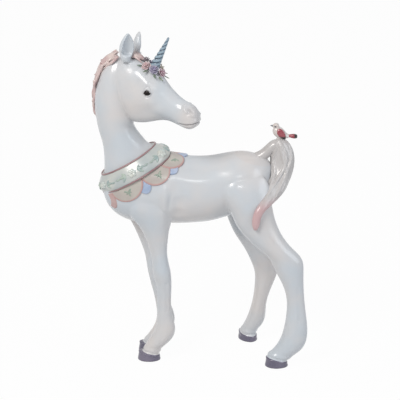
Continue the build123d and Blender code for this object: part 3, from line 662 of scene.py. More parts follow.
# Strokes of the modelling tool on the body: place in mm from the middle plane, radius, lift
BODY_STROKES = [
    ((-66, 10, 132), 13, 1),
    ((-66, -10, 132), 13, 1),
    ((-69, 0, 130), 6, -1.3),
    ((-46, -20, 126), 12, 0.8),
    ((-46, 20, 126), 12, 0.8),
    ((-22, -14, 106), 6, -0.8),
    ((-17.5, -20, 113), 5, -0.9),
    ((-16.5, -21.5, 122), 5, -1.5),
    ((-16.5, -22.5, 132), 5.5, -1.4),
    ((-18, -22.5, 142), 6, -0.8),
    ((-26, -21, 124), 7, 1.2),
    ((-27, -21, 137), 8, 1.1),
    ((-35, -11, 72), 4, 0.5),
    ((51, -2, 156), 9, 3.2),
    ((-17.5, 20, 113), 5, -0.9),
    ((-16.5, 21.5, 122), 5, -1),
    ((-16.5, 22.5, 132), 5.5, -0.9),
    ((-26, 21, 124), 7, 0.9),
    ((-27, 21, 137), 8, 0.8),
    ((28, -19, 146), 13, 0.9),
    ((28, 19, 146), 13, 0.9),
    ((18, -20, 122), 8, -0.9),
    ((18, 20, 122), 8, -0.9),
]
# Grooves and ridges along paths on the body: places in mm from the middle plane, radius, lift
BODY_LINES = [
    (((-21, -25, 144), (-22.5, -24, 128), (-22.5, -22, 116), (-21.5, -18, 104)), 1.6, -1.7),
    (((-26, -25, 142), (-27, -24, 128), (-27, -22, 114)), 3, 0.9),
    (((-19.5, 25, 142), (-21, 24, 128), (-21.5, 22, 116), (-21, 18, 105)), 1.7, -1.1),
    (((15, -25, 142), (18, -24, 130), (20, -21, 119)), 2.6, -0.9),
    (((15, 25, 142), (18, 24, 130), (20, 21, 119)), 2.6, -0.9),
    (((54, -28, 113), (65, -28, 99), (75, -27.5, 87)), 2.4, -1.8),
    (((48, -29, 111), (60, -29, 97), (72, -28.5, 83)), 2.2, 1.3),
    (((47, 16, 100), (53, 15, 88), (57, 15, 78)), 1.8, -0.6),
    (((-25.5, -16, 64), (-25, -15.5, 42)), 1.5, -0.45),
    (((75, -25.6, 64), (76, -26.3, 38)), 1.5, -0.45),
]
# Single strokes on the head: forward, up, side (used on both sides), radius, lift
HEAD_STROKES = [
    ((3, -11, 11), 9, 0.7),
    ((14, -17, 0), 11, 1.9),
    ((2, -22, 0), 10, 1.6),
    ((9, 10, 10), 3, 0.9),
    ((4, 12.5, 10.5), 3.6, 0.7),
    ((-2, 15, 9.5), 3.6, 0.5),
    ((2, 5, 12), 4, -0.5),
    ((16, 8.6, 8.5), 3, 0.5),
    ((16, -1.4, 10), 3.2, 0.6),
    ((14, -10, 9), 5, -0.5),
    ((22, 0, 9), 5.5, -0.7),
    ((24, -5, 8), 4, 0.5),
    ((45, 6, 7), 4.5, 0.6),
    ((49, -8, 3), 4, 0.5),
    ((37, 2, 7.5), 5, -0.4),
]


def coronet(x, y, yaw):
    """A place on the sloping top of a hoof and the direction square to it."""
    heel = Vector((cos(radians(yaw)), -sin(radians(yaw)), 0))
    return mm(x, y, CORONET), heel * sin(CORONET_SLOPE) + UPWARD * cos(CORONET_SLOPE)


def model_feet(mesh):
    """Steps the skin in above each coronet and flares the hoof below it."""
    points = read_points(mesh)
    for x, y, yaw in HOOVES.values():
        place, square = coronet(x, y, yaw)
        near = np.hypot(points[:, 0] - mm(x), points[:, 1] - mm(y)) < mm(FOOT_REACH)
        foot = near & (points[:, 2] < mm(FOOT_REACH))
        level = (points[foot] - np.array(place)) @ np.array(square) * PER_METRE
        out = points[foot] - np.array((mm(x), mm(y), 0))
        out[:, 2] = 0
        out /= np.linalg.norm(out, axis=1)[:, None] + 1e-9
        lift = sum(height * bell(level, at, width) for at, width, height in CORONET_STEPS)
        lift *= smooth_step(0.8, 2.0, points[foot][:, 2] * PER_METRE)
        points[foot] += out * (lift * MM)[:, None]
    write_points(mesh, points)


def model_face(mesh):
    """Models the brow, the lids, the nostrils, the mouth and the planes of the cheeks, and paints them."""
    points, normals = read_points(mesh), read_normals(mesh)
    forward, up, side = on_head(points)
    side = np.abs(side)
    under = smooth_step(-32, -26, up)
    near_face = smooth_step(-12, -4, forward) * under
    lift = np.zeros(len(points))
    for (f, u, s), radius, height in HEAD_STROKES:
        gap = np.sqrt((forward - f) ** 2 + (up - u) ** 2 + (side - s) ** 2)
        lift += height * bell(gap, 0, radius)
    # Eyes: a low mound between a raised lid and a fold round it
    inside, x = almond(forward, up)
    cheek = smooth_step(5.5, 7.5, side)
    lift += cheek * 0.25 * np.sqrt(np.clip(inside, 0, 1))
    lift += cheek * 0.50 * bell(inside, -0.30, 0.22) * (np.abs(x) < 6)
    lift -= cheek * 0.45 * bell(inside, -1.05, 0.30) * (np.abs(x) < 6)
    # Nostril: an oval pit with a raised rim
    along, across = turned(forward, up, NOSTRIL, NOSTRIL_SLANT)
    reach = np.hypot(along / NOSTRIL_HALVES[0], across / NOSTRIL_HALVES[1])
    muzzle = smooth_step(3.0, 4.5, side) * (forward > 36)
    lift -= muzzle * 0.85 * np.exp(-(reach**2) * 1.6)
    lift += muzzle * 0.75 * bell(reach, 1.6, 0.45)
    # Mouth: a fine groove with fuller lips above and below
    mouth = along_path(np.column_stack((forward, up)), MOUTH_LINE) + (forward < 38) * 9
    lift -= 0.55 * bell(mouth, 0, 0.42)
    lift += 0.30 * bell(mouth, 1.5, 0.9)
    write_points(mesh, points + normals * (lift * near_face * MM)[:, None])
    rim = cheek * bell(inside, -0.06, 0.09) * 0.75
    lines = np.maximum(muzzle * smooth_step(1.0, 0.3, reach) * 0.3, smooth_step(0.7, 0.1, mouth) * 0.6)
    paint(mesh, "line", np.maximum(lines, rim) * near_face)
    # A beige tint over the front of the muzzle: partly the glaze's own tone, partly a painted reflection.
    paint(mesh, "soft", smooth_step(34, 50, forward) * under * (forward > 20) * 0.35)


def blend_body(mesh):
    """Runs the forms of trunk, limbs and neck into each other, then models the muscles."""
    relax(mesh, 4)
    points = read_points(mesh)
    height = points[:, 2] * PER_METRE
    trunk = smooth_step(78, 106, height)
    forward, up, _ = on_head(points)
    face = smooth_step(-6, 8, forward) * smooth_step(-20, -10, up)
    ear = smooth_step(16, 20, up)
    relax(mesh, 150, trunk * (1 - face) * (1 - ear))
    jowl = bell(forward, -7, 7) * smooth_step(-29, -22, up) * (1 - smooth_step(12, 18, up))
    root = bell(up, 19, 4.5) * (forward < -3)
    relax(mesh, 220, np.clip(jowl + root * 0.8, 0, 1) * (height > 180))
    relax(mesh, 40, root * (height > 180), swell=0)
    points, normals = read_points(mesh), read_normals(mesh)
    for (x, y, z), radius, lift in BODY_STROKES:
        gap = np.linalg.norm(points * PER_METRE - np.array((x, MIDDLE + y, z)), axis=1)
        points += normals * (lift * MM * bell(gap, 0, radius))[:, None]
    for path, radius, lift in BODY_LINES:
        gap = along_path(points * PER_METRE, [(x, MIDDLE + y, z) for x, y, z in path])
        points += normals * (lift * MM * bell(gap, 0, radius))[:, None]
    write_points(mesh, points)


def piece_of_face(centre):
    """The name of the casting's piece that a place belongs to."""
    x, y, z = centre * PER_METRE
    if z < LEG_SEAM:
        end = "fore" if x < 0 else "hind"
        side = "left" if y < MIDDLE + (0 if x < 0 else HIND_PARTING) else "right"
        hoof = f"{end}_hoof_{side}"
        place, square = coronet(*HOOVES[hoof])
        return hoof if (centre - place).dot(square) < 0 else f"{end}_leg_{side}"
    rel = centre - HEAD_ORIGIN
    forward, up = rel.dot(FORWARD) * PER_METRE, rel.dot(UP) * PER_METRE
    if forward < EAR_FRONT and up > EAR_SEAM:
        return "ear_left" if rel.dot(LEFT) > 0 else "ear_right"
    if forward > HEAD_SEAM and up > JAW_SEAM:
        return "head"
    return "neck" if (centre - COLLAR_MIDDLE).dot(RING_AXIS) > 0 else "torso"


def split_skin(mesh):
    """Cuts the casting along its mould seams into closed pieces that keep the whole skin's normals."""
    bm = bmesh.new()
    bm.from_mesh(mesh)
    cuts = [
        (mm(0, 0, LEG_SEAM), UPWARD, None),
        (COLLAR_MIDDLE, RING_AXIS, None),
        (head_point(HEAD_SEAM, 0, 0), FORWARD, None),
        (head_point(0, JAW_SEAM, 0), UP, None),
        (head_point(0, EAR_SEAM, 0), UP, None),
    ]
    cuts += [(*coronet(x, y, yaw), mm(x, y, 0)) for x, y, yaw in HOOVES.values()]
    for place, square, foot in cuts:
        faces = [
            face for face in bm.faces
            if foot is None or all((v.co - foot).length < mm(FOOT_REACH) for v in face.verts)
        ]
        geometry = {item for face in faces for item in (face, *face.edges, *face.verts)}
        bmesh.ops.bisect_plane(bm, geom=list(geometry), dist=1e-7, plane_co=place, plane_no=square)
    bm.normal_update()
    whole = bm.verts.layers.float_vector.new("whole_normal")
    for vertex in bm.verts:
        vertex[whole] = vertex.normal
    groups = {}
    for face in bm.faces:
        groups.setdefault(piece_of_face(face.calc_center_median()), []).append(face.index)
    pieces = {}
    for name, wanted in groups.items():
        wanted = set(wanted)
        part = bm.copy()
        bmesh.ops.delete(part, geom=[f for f in part.faces if f.index not in wanted], context="FACES")
        skin_faces = len(part.faces)
        rims = [edge for edge in part.edges if edge.is_boundary]
        bmesh.ops.holes_fill(part, edges=rims, sides=0)
        part.faces.index_update()
        caps = [face for face in part.faces if face.index >= skin_faces]
        bmesh.ops.triangulate(part, faces=caps)
        pieces[name] = (mesh_of(part, name), skin_faces)
    bm.free()
    return pieces


def keep_normals(mesh, skin_faces):
    """Gives the skin its normals from before the cut, so that no seam shows in the gloss."""
    mesh.shade_smooth()
    whole = read_rows(mesh.attributes["whole_normal"].data, "vector", 3)
    normals = whole[read_rows(mesh.loops, "vertex_index", kind=np.int64)]
    for polygon in mesh.polygons[skin_faces:]:
        normals[polygon.loop_start:polygon.loop_start + polygon.loop_total] = polygon.normal
    mesh.attributes.remove(mesh.attributes["whole_normal"])
    mesh.normals_split_custom_set(normals.tolist())


class UNICORN_OT_skin(bpy.types.Operator):
    """Cast the porcelain skin: trunk, neck, head, ears, legs and hooves"""

    bl_idname = "unicorn.skin"
    bl_label = "Porcelain skin"

    def execute(self, context):
        mesh = cast(cad_copy(*SKIN_NODES), sizes().skin_grain)
        blend_body(mesh)
        bm = bmesh.new()
        bm.from_mesh(mesh)
        eyes = [(head_point(*EYE, side), mm(8)) for side in (-11, 11)]
        muzzle = [(head_point(47, -1, 0), mm(13))]
        ears = [(head_point(-16.5, 29, side), mm(15)) for side in (-9, 9)]
        refine(bm, eyes + muzzle + ears)
        refine(bm, [(place, mm(5.6)) for place, _ in eyes])
        bm.to_mesh(mesh)
        bm.free()
        model_face(mesh)
        surface = surface_of(mesh)
        eye = glaze(
            "eye_glaze", colours().eye, srgb(30, 16, 9), 300, gloss=0.08, ripple=0.00001, coat=0.1, shine=0.2
        )
        for name, side in (("eye_left", 1), ("eye_right", -1)):
            show(name, mesh_of(eye_lens(surface, side)), eye)
        model_feet(mesh)
        keep_inside(mesh)
        for name, (piece, skin_faces) in split_skin(mesh).items():
            keep_normals(piece, skin_faces)
            if "hoof" in name:
                material = glaze("hoof_glaze", colours().hoof, srgb(98, 94, 114), 60, gloss=0.12)
                show(name, piece, material)
            else:
                material = face_glaze() if name == "head" else porcelain()
                show(name, piece, material, [name])
        bpy.data.meshes.remove(mesh)
        return {"FINISHED"}


# ---------------------------------------------------------------- horn
HORN_LENGTH = 29.0                 # length, and radius at the root and the tip, mm
HORN_ROOT = 3.9
HORN_TIP = 0.7
HORN_TURNS = 2.7                   # how often its strands go round it
HORN_LEAN = radians(8)
HORN_STRANDS = 3
HORN_GROOVE = 0.24                 # depth of the grooves between the strands, in shares of the radius
HORN_RIDGE = 1.08                  # the strands stand out so far, in shares of the radius
HORN_SIDES = 36
HORN_RINGS = 90
HORN_PLACE = head_point(5.4, 17.6, 0)


def horn_section(bm):
    """The horn's lowest ring: one lobe to a strand, with the ridges marked."""
    ridge = bm.verts.layers.float.new("ridge")
    ring = bmesh.ops.create_circle(bm, segments=HORN_SIDES, radius=1.0)["verts"]
    for vertex in ring:
        around = np.arctan2(vertex.co.y, vertex.co.x)
        vertex.co *= HORN_RIDGE - HORN_GROOVE * (1 - abs(cos(around * HORN_STRANDS / 2))) ** 1.6
        vertex[ridge] = ((vertex.co.length - (HORN_RIDGE - HORN_GROOVE)) / HORN_GROOVE) ** 2
    bmesh.ops.scale(bm, verts=ring, vec=(mm(HORN_ROOT),) * 2 + (1,))


def twisted_horn():
    """The horn standing on the origin: its section carried up, turned and narrowed ring by ring."""
    bm = bmesh.new()
    horn_section(bm)
    edges = list(bm.edges)
    turn = Matrix.Rotation(2 * pi * HORN_TURNS / HORN_RINGS, 3, "Z")
    for step in range(HORN_RINGS):
        before = HORN_ROOT + (HORN_TIP - HORN_ROOT) * step / HORN_RINGS
        after = HORN_ROOT + (HORN_TIP - HORN_ROOT) * ((step + 1) / HORN_RINGS)
        if step == HORN_RINGS - 1:
            after *= 0.5
        grown = bmesh.ops.extrude_edge_only(bm, edges=edges)["geom"]
        rim = [v for v in grown if isinstance(v, bmesh.types.BMVert)]
        fresh = set(rim)
        edges = [e for e in grown if isinstance(e, bmesh.types.BMEdge) and fresh.issuperset(e.verts)]
        bmesh.ops.scale(bm, verts=rim, vec=(after / before, after / before, 1))
        bmesh.ops.rotate(bm, verts=rim, cent=(0, 0, 0), matrix=turn)
        bmesh.ops.translate(bm, verts=rim, vec=(0, 0, mm(HORN_LENGTH / HORN_RINGS)))
    bmesh.ops.holes_fill(bm, edges=[e for e in bm.edges if e.is_boundary], sides=0)
    return bm


class UNICORN_OT_horn(bpy.types.Operator):
    """Twist the horn from three tapering strands"""

    bl_idname = "unicorn.horn"
    bl_label = "Horn"

    def execute(self, context):
        bm = stood_at(twisted_horn(), HORN_PLACE, UP * cos(HORN_LEAN) + FORWARD * sin(HORN_LEAN))
        bmesh.ops.recalc_face_normals(bm, faces=bm.faces)
        ridges = (("ridge", colours().horn_ridge),)
        material = glaze("horn_glaze", colours().horn, srgb(70, 92, 116), 120, marks=ridges)
        show("horn", mesh_of(bm), material, ["horn"])
        return {"FINISHED"}


# ---------------------------------------------------------------- hair
TAIL_STRANDS = 12
WAVE_SHIFT = 2.399                 # from one strand's waves to the next one's, radians


def tail_strands():
    """Strands that run down the tail, each waving round its middle line."""
    places = [mm(x, MIDDLE + y, z) for (x, y, z), _, _ in TAIL_LINE]
    last = len(TAIL_LINE) - 1
    lines = [[] for _ in range(TAIL_STRANDS)]
    for index, (_, half_flat, half_deep) in enumerate(TAIL_LINE):
        share = index / last
        along = (places[min(index + 1, last)] - places[max(index - 1, 0)]).normalized()
        across = FARWARD.cross(along).normalized()
        deep = along.cross(across)
        out = 0.97 - 0.25 * smooth_step(0.45, 0.8, share)
        radius = sizes().strand_radius * (0.85 - 0.35 * share) * min(1, 0.45 + index * 0.3)
        if index == last:
            radius *= 0.5
        for strand, line in enumerate(lines):
            wave = 0.5 * sin(2 * pi * share * 1.3 + strand * WAVE_SHIFT)
            turn = 2 * pi * strand / TAIL_STRANDS + wave + 0.5 * share
            place = places[index] + across * mm(half_flat * out * cos(turn))
            line.append((place + deep * mm(half_deep * out * sin(turn)), radius))
    return lines


def crest_frames():
    """Place and outward direction at each station of the crest, from the collar up to the poll."""
    frames = []
    for over, rise, tilt, half_depth, half_width, angle in CREST_LINE:
        lean, turn = radians(tilt), radians(angle)
        back = Vector((cos(lean), 0, sin(lean)))
        place = COLLAR_MIDDLE + mm(over, 0, rise)
        place = place + (back * half_depth * cos(turn) + FARWARD * half_width * sin(turn)) * MM
        frames.append((place, (back * cos(turn) + FARWARD * sin(turn)).normalized()))
    return frames


MANE_LOCKS = 8
MANE_REACH = 2.1                   # how far they lie over the near side, in shares of the crest's half width
FORELOCK_LOCKS = 6


def mane_strands():
    """Wavy locks that lie down the crest and curl away from it at their ends."""
    frames = crest_frames()
    lines = []
    for index in range(2, len(frames)):
        (below, out_below), (place, out) = frames[index - 1:index + 1]
        across = (below - place).normalized().cross(out).normalized()
        length = (below - place).length * PER_METRE
        for lock in range(MANE_LOCKS):
            slide = 1.0 - lock * (1.0 + MANE_REACH * min(1, index / 3)) / (MANE_LOCKS - 1)
            phase = index * 1.7 + lock * 2.4
            reach = length + 3.5 + 2.0 * sin(phase * 1.3)
            line = []
            for step in range(7):
                share = step / 6
                wave = 1.5 * sin(2.4 * pi * share + phase)
                facing = out.lerp(out_below, share).normalized()
                spot = place.lerp(below, (reach * share - 2.5) / length)
                level = 2.1 - 0.43 * slide * slide - 0.25 * abs(slide) + 0.9 * cos(phase)
                level += 1.4 * share**3 * cos(phase) ** 2
                spot = spot + across * mm(slide * 3.4 + wave) + facing * mm(level)
                line.append((spot, mm(1.15 * (0.7 + 0.6 * share) * (1 - share**4 * 0.85))))
            lines.append(line)
    return lines


def forelock_strands():
    """Short locks that fall forward between the ears to the wreath."""
    lines = []
    for lock in range(FORELOCK_LOCKS):
        side = (lock - (FORELOCK_LOCKS - 1) / 2) * 1.5
        phase = lock * 1.9
        reach = 11.5 + 1.8 * cos(phase)
        line = []
        for step in range(5):
            share = step / 4
            up = 20.6 + 3.0 * sin(pi * share * 0.9) - 0.10 * side * side + 0.5 * sin(phase)
            wave = 0.8 * sin(2 * pi * share + phase)
            place = head_point(-16.5 + reach * share, up, side * (1 - 0.2 * share) + wave)
            line.append((place, mm(1.3 * (1 - 0.65 * share**1.5))))
        lines.append(line)
    return lines


def slim_and_paint_tail(mesh):
    """Narrows the tail's loose end where it turns to the near side, and marks it for its pink."""
    _, y, z = read_points(mesh).T * PER_METRE
    slim = smooth_step(142, 128, z) * smooth_step(-8, -18, y)
    write_points(mesh, read_points(mesh) - read_normals(mesh) * (slim * mm(0.75))[:, None])
    paint(mesh, "pink_end", smooth_step(137, 127, z) * smooth_step(-12, -22, y) * 0.75)


class UNICORN_OT_hair(bpy.types.Operator):
    """Model the mane, the forelock and the tail in flowing strands"""

    bl_idname = "unicorn.hair"
    bl_label = "Mane, forelock and tail"

    def execute(self, context):
        hair = glaze("mane_glaze", colours().mane, srgb(220, 204, 198), 140, gloss=0.16)
        for name, lines in (("mane", mane_strands()), ("forelock", forelock_strands())):
            mesh = cast_node(name, sizes().fine_grain, 3, lines)
            keep_inside(mesh)
            show(name, mesh, hair, [name])
        mesh = cast_node("tail", sizes().fine_grain, 3, tail_strands())
        slim_and_paint_tail(mesh)
        pink = (("pink_end", colours().tail_end),)
        # Both tones are greyer than the skin's white: painted shadow for the grooves between the strands.
        tail = glaze("tail_glaze", srgb(205, 203, 202), srgb(190, 186, 184), 60, marks=pink)
        show("tail", mesh, tail, ["tail"])
        return {"FINISHED"}


# ---------------------------------------------------------------- blossoms and leaves
def petal(length, width, cup, lift, point=0.0):
    """One petal from its root at the origin along +X: cupped, with a rounded or pointed end."""
    bm = bmesh.new()
    bmesh.ops.create_grid(bm, x_segments=6, y_segments=6, size=0.5)
    along = bm.verts.layers.float.new("along")
    for vertex in bm.verts:
        share = vertex.co.x + 0.5
        across = vertex.co.y * 2
        round_end = sqrt(max(0.0, 1 - max(0.0, (share - 0.45) / 0.55) ** 2))
        outline = (0.35 + 0.65 * min(1.0, share * 2.2)) * (round_end * (1 - point) + (1 - share) * point)
        vertex[along] = share
        vertex.co.x = share * length * (1 - 0.10 * across * across * share)
        vertex.co.y = across * width / 2 * max(outline, 0.12)
        vertex.co.z = cup * (across * across * 0.5 + share * share) + lift * share
    return bm


# Rings of petals from the lowest: number of petals, length, cup and lift in shares of the radius
PETAL_RINGS = ((5, 1.00, 0.30, 0.05), (5, 0.74, 0.45, 0.25), (4, 0.46, 0.60, 0.40))
HEART_BEADS = 5                    # round one bead more in the middle


def blossom(radius, seed):
    """A small garden blossom: three turned rings of petals round a beaded heart, facing +Z."""
    parts = []
    for level, (count, reach, cup, lift) in enumerate(PETAL_RINGS):
        for index in range(count):
            leaf = petal(radius * reach, radius * reach * 1.02, radius * cup * 0.5, radius * lift * 0.6)
            turn = 2 * pi * (index + 0.5 * level) / count + seed + 0.12 * sin(seed * 3 + index * 2.3)
            parts.append(moved(leaf, 0, 0, turn, radius * 0.10 * level))
    heart = bmesh.new()
    layer = heart.verts.layers.float.new("along")
    for bead in range(HEART_BEADS + 1):
        turn = 2 * pi * bead / HEART_BEADS
        reach = radius * (0.16 if bead < HEART_BEADS else 0)
        made = bmesh.ops.create_icosphere(heart, subdivisions=2, radius=radius * 0.11)["verts"]
        bmesh.ops.translate(heart, verts=made, vec=(reach * cos(turn), reach * sin(turn), radius * 0.42))
        for vertex in made:
            vertex[layer] = -1.0
    return bmesh_of(thickened(joined(*parts), sizes().petal_thickness), mesh_of(heart))


# Forward, up, side of the face on the head, share of the radius, lean forward, lean sideways, colour
BLOSSOMS = {
    "blossom_plum": (-3.0, 21.6, 1.6, 0.95, -0.5, 0.25, "plum"),
    "blossom_pale_pink": (1.2, 20.3, -4.6, 1.00, -0.2, -0.8, "pink"),
    "blossom_violet": (8.2, 20.5, -4.4, 1.00, 0.3, -0.8, "violet"),
    "blossom_rose": (13.2, 19.2, 0.2, 0.95, 0.9, 0.0, "rose"),
    "blossom_cream": (8.4, 20.1, 4.8, 1.00, 0.3, 0.8, "cream"),
    "blossom_lilac": (1.6, 20.5, 5.0, 0.95, -0.2, 0.8, "violet"),
}
BLOSSOM_RADIUS = 4.1
BLOSSOM_SINK = 0.8                 # how deep a blossom's underside is set into the brow, mm
# Forward, up, side of each leaf's root, and its length
LEAVES = (
    (4.4, 18.2, -6.2, 6.2), (9.8, 17.2, -5.2, 6.0), (13.4, 16.4, -3.2, 5.2), (-1.6, 19.2, -5.6, 4.2),
    (4.4, 18.2, 6.2, 6.2), (9.8, 17.2, 5.2, 6.0), (13.4, 16.4, 3.2, 5.2), (-2.4, 19.6, 5.0, 5.4),
)


def lay_blossom(name, seed):
    """Makes one blossom and lays it on the brow, with petals that pale towards their edges."""
    forward, up, side, share, forward_lean, side_lean, tone = BLOSSOMS[name]
    facing = (UP + FORWARD * forward_lean + LEFT * side_lean).normalized()
    place = head_point(forward, up, side) - facing * mm(BLOSSOM_SINK)
    mesh = mesh_of(stood_at(blossom(mm(BLOSSOM_RADIUS * share), seed), place, facing))
    along = read_rows(mesh.attributes["along"].data, "value", kind=np.float32)
    paint(mesh, "edge", smooth_step(0.35, 1.0, along) * 0.8)
    colour = getattr(colours(), tone)
    deep = tuple(value * 0.8 for value in colour)
    pale = tuple(value * 0.45 + 0.45 for value in colour)
    material = glaze(f"{name}_glaze", colour, deep, 200, gloss=0.10, marks=(("edge", pale),))
    show(name, mesh, material, [name])


def wreath_leaf(forward, up, side, length):
    """A pointed leaf that lies outward from the foot of the horn."""
    root = head_point(forward, up, side)
    away = root - HORN_PLACE
    away = (away - UP * away.dot(UP)).normalized()
    facing = (UP + away * 0.25 + LEFT * side * 0.09).normalized()
    leaf = petal(mm(length), mm(length * 0.52), mm(0.5), mm(-1.2), point=0.75)
    turn = Matrix((away, facing.cross(away), facing)).transposed().to_4x4()
    bmesh.ops.transform(leaf, matrix=Matrix.Translation(root) @ turn, verts=leaf.verts)
    return leaf


class UNICORN_OT_wreath(bpy.types.Operator):
    """Lay the wreath of blossoms and leaves round the horn"""

    bl_idname = "unicorn.wreath"
    bl_label = "Wreath"

    def execute(self, context):
        for number, name in enumerate(BLOSSOMS):
            lay_blossom(name, number * 1.3)
        mesh = thickened(joined(*[wreath_leaf(*row) for row in LEAVES]), mm(0.6))
        green = glaze("leaf_glaze", colours().leaf, srgb(136, 150, 124), 220, gloss=0.10)
        show("wreath_leaves", mesh, green, ["wreath_leaves"])
        return {"FINISHED"}


# ---------------------------------------------------------------- collar
ROSETTE_ANGLES = (30, 90, 150, -30, -90, -150)
ROSETTE_PETALS = 6
# Leaves on each side of a rosette: length, width, distance of the root from its middle, turn
SPRAY_LEAVES = ((6.4, 2.6, 4.6, 0.15), (5.0, 2.1, 5.0, 0.95), (5.0, 2.1, 5.0, -0.75), (4.6, 1.9, 10.4, 0.3))


def relief_leaf(length, width, height):
    """A leaf in low relief along +X, highest along its rib, with its underside sunk."""
    bm = bmesh.new()
    bmesh.ops.create_uvsphere(bm, u_segments=16, v_segments=12, radius=1)
    bmesh.ops.rotate(bm, verts=bm.verts, cent=(0, 0, 0), matrix=Matrix.Rotation(pi / 2, 3, "Y"))
    for vertex in bm.verts:
        x, y, z = vertex.co
        point = max(0.0, 1 - x * x) ** 0.2
        vertex.co = ((x + 1) * length / 2, y * width / 2 * point, z * (height if z > 0 else mm(0.4)))
    return bm


def relief_rosette(radius, height):
    """A rosette in low relief: domed petals round a button."""
    parts = []
    for index in range(ROSETTE_PETALS):
        leaf = relief_leaf(radius, radius * 0.86, height)
        parts.append(moved(leaf, 0, 0, 2 * pi * index / ROSETTE_PETALS))
    button = bmesh.new()
    bmesh.ops.create_uvsphere(button, u_segments=16, v_segments=10, radius=radius * 0.28)
    bmesh.ops.scale(button, verts=button.verts, vec=(1, 1, 0.8))
    parts.append(moved(button, 0, 0, 0, height * 0.7))
    return joined(*parts)


def spray(surface, axes):
    """The leaves on both sides of a rosette."""
    leaves = []
    for way in (-1, 1):
        for length, width, step, turn in SPRAY_LEAVES:
            leaf = relief_leaf(mm(length), mm(width), mm(0.75))
            moved(leaf, mm(step * way), 0, turn if way > 0 else pi - turn)
            leaves.append(laid_on(leaf, surface, axes))
    return leaves


class UNICORN_OT_collar(bpy.types.Operator):
    """Make the collar: its band, two pipings, rosettes and leaf relief"""

    bl_idname = "unicorn.collar"
    bl_label = "Collar"

    def execute(self, context):
        mesh = cast_node("collar_band", mm(0.5), 6)
        surface = surface_of(mesh)
        band = glaze("band_glaze", colours().band, srgb(204, 206, 200), 70)
        show("collar_band", mesh, band, ["collar_band"])
        piping = glaze("piping_glaze", colours().piping, srgb(164, 134, 134), 160)
        for name in ("collar_piping_lower", "collar_piping_upper"):
            mesh = cast_node(name, mm(0.3), 10)
            write_points(mesh, read_points(mesh) - read_normals(mesh) * mm(0.2))
            show(name, mesh, piping, [name])
        rosettes, sprays = [], []
        for angle in ROSETTE_ANGLES:
            rosettes.append(laid_on(relief_rosette(mm(3.8), mm(1.1)), surface, ring_frame(angle)))
            sprays += spray(surface, ring_frame(angle))
        relief = glaze("relief_glaze", srgb(196, 208, 206), srgb(208, 210, 202), 160)
        show("collar_rosettes", mesh_of(joined(*rosettes)), relief, ["collar_rosettes"])
        leaf_glaze = glaze("spray_glaze", srgb(156, 174, 174), srgb(176, 190, 178), 160)
        show("collar_sprays", mesh_of(joined(*sprays)), leaf_glaze)
        return {"FINISHED"}


# Angle round the ring, lean, half width and drop of each lappet, mm
LAPPETS = {
    "lappet_back_left": (20, 48, 9.9, 12.5),
    "lappet_side_left": (57, 18, 11.7, 12.5),
    "lappet_breast_left": (109, 0, 13.9, 12.5),
    "lappet_front": (180, -6, 12.4, 12.5),
    "lappet_breast_right": (-109, 0, 13.9, 12.5),
    "lappet_side_right": (-57, 18, 11.7, 12.5),
    "lappet_back_right": (-20, 48, 9.9, 12.5),
}
# Leaves of the sprig on a lappet: turn and length
SPRIG_LEAVES = ((0.5, 3.6), (pi - 0.5, 3.6), (-pi / 2, 3.8), (-0.5, 2.6), (pi + 0.5, 2.6))


def paint_rim(mesh, axes, half_width, drop):
    """Marks the rim of a lappet, which hangs as half an ellipse from its place on the ring."""
    across, up, place = axes
    rel = read_points(mesh) - np.array(place)
    x = rel @ np.array(across) * PER_METRE / half_width
    y = rel @ np.array(up) * PER_METRE / drop
    paint(mesh, "rim", smooth_step(0.87, 0.94, np.hypot(x, y)) * 0.9)


def sprig(surface, axes, drop):
    """The leaves of relief in the middle of a lappet."""
    across, up, place = axes
    centre = (across, up, place - up * mm(drop * 0.42))
    leaves = []
    for turn, length in SPRIG_LEAVES:
        leaf = moved(relief_leaf(mm(length), mm(length * 0.42), mm(0.4)), 0, 0, turn)
        leaves.append(laid_on(leaf, surface, centre))
    return leaves


class UNICORN_OT_lappets(bpy.types.Operator):
    """Make the lappets that hang from the collar, with their rims and sprigs"""

    bl_idname = "unicorn.lappets"
    bl_label = "Lappets"

    def execute(self, context):
        colour = colours()
        grain = sizes().fine_grain * 0.9
        rims = (("rim", colour.lappet_rim),)
        cream = glaze("lappet_glaze", colour.lappet, srgb(184, 176, 170), 90, marks=rims)
        sprigs = []
        for name, (angle, lean, half_width, drop) in LAPPETS.items():
            axes = hanging_frame(angle, lean)
            mesh = cast_node(name, grain, 5)
            paint_rim(mesh, axes, half_width, drop)
            sprigs += sprig(surface_of(mesh), axes, drop)
            show(name, mesh, cream, [name])
        green = glaze("sprig_glaze", colour.sprig, srgb(162, 172, 156), 200)
        show("lappet_sprigs", mesh_of(joined(*sprigs)), green)
        for name, tone, thick, slot in (
            ("under_lappets_breast", "under_pink", srgb(198, 170, 166), "glaze_under_lappet"),
            ("under_lappets_side", "under_blue", srgb(180, 192, 214), "glaze_blue"),
        ):
            mesh = cast_node(name, grain, 4, whole=True)
            show(name, mesh, glaze(f"{tone}_glaze", getattr(colour, tone), thick, 120), [name])
        return {"FINISHED"}


# ---------------------------------------------------------------- bird
BIRD = (60.0, MIDDLE, 180.5)       # the middle of its body, mm


def on_bird(mesh):
    """X, Y and Z of the mesh's points from the middle of the bird, in millimetres."""
    return (read_points(mesh) * PER_METRE - np.array(BIRD)).T


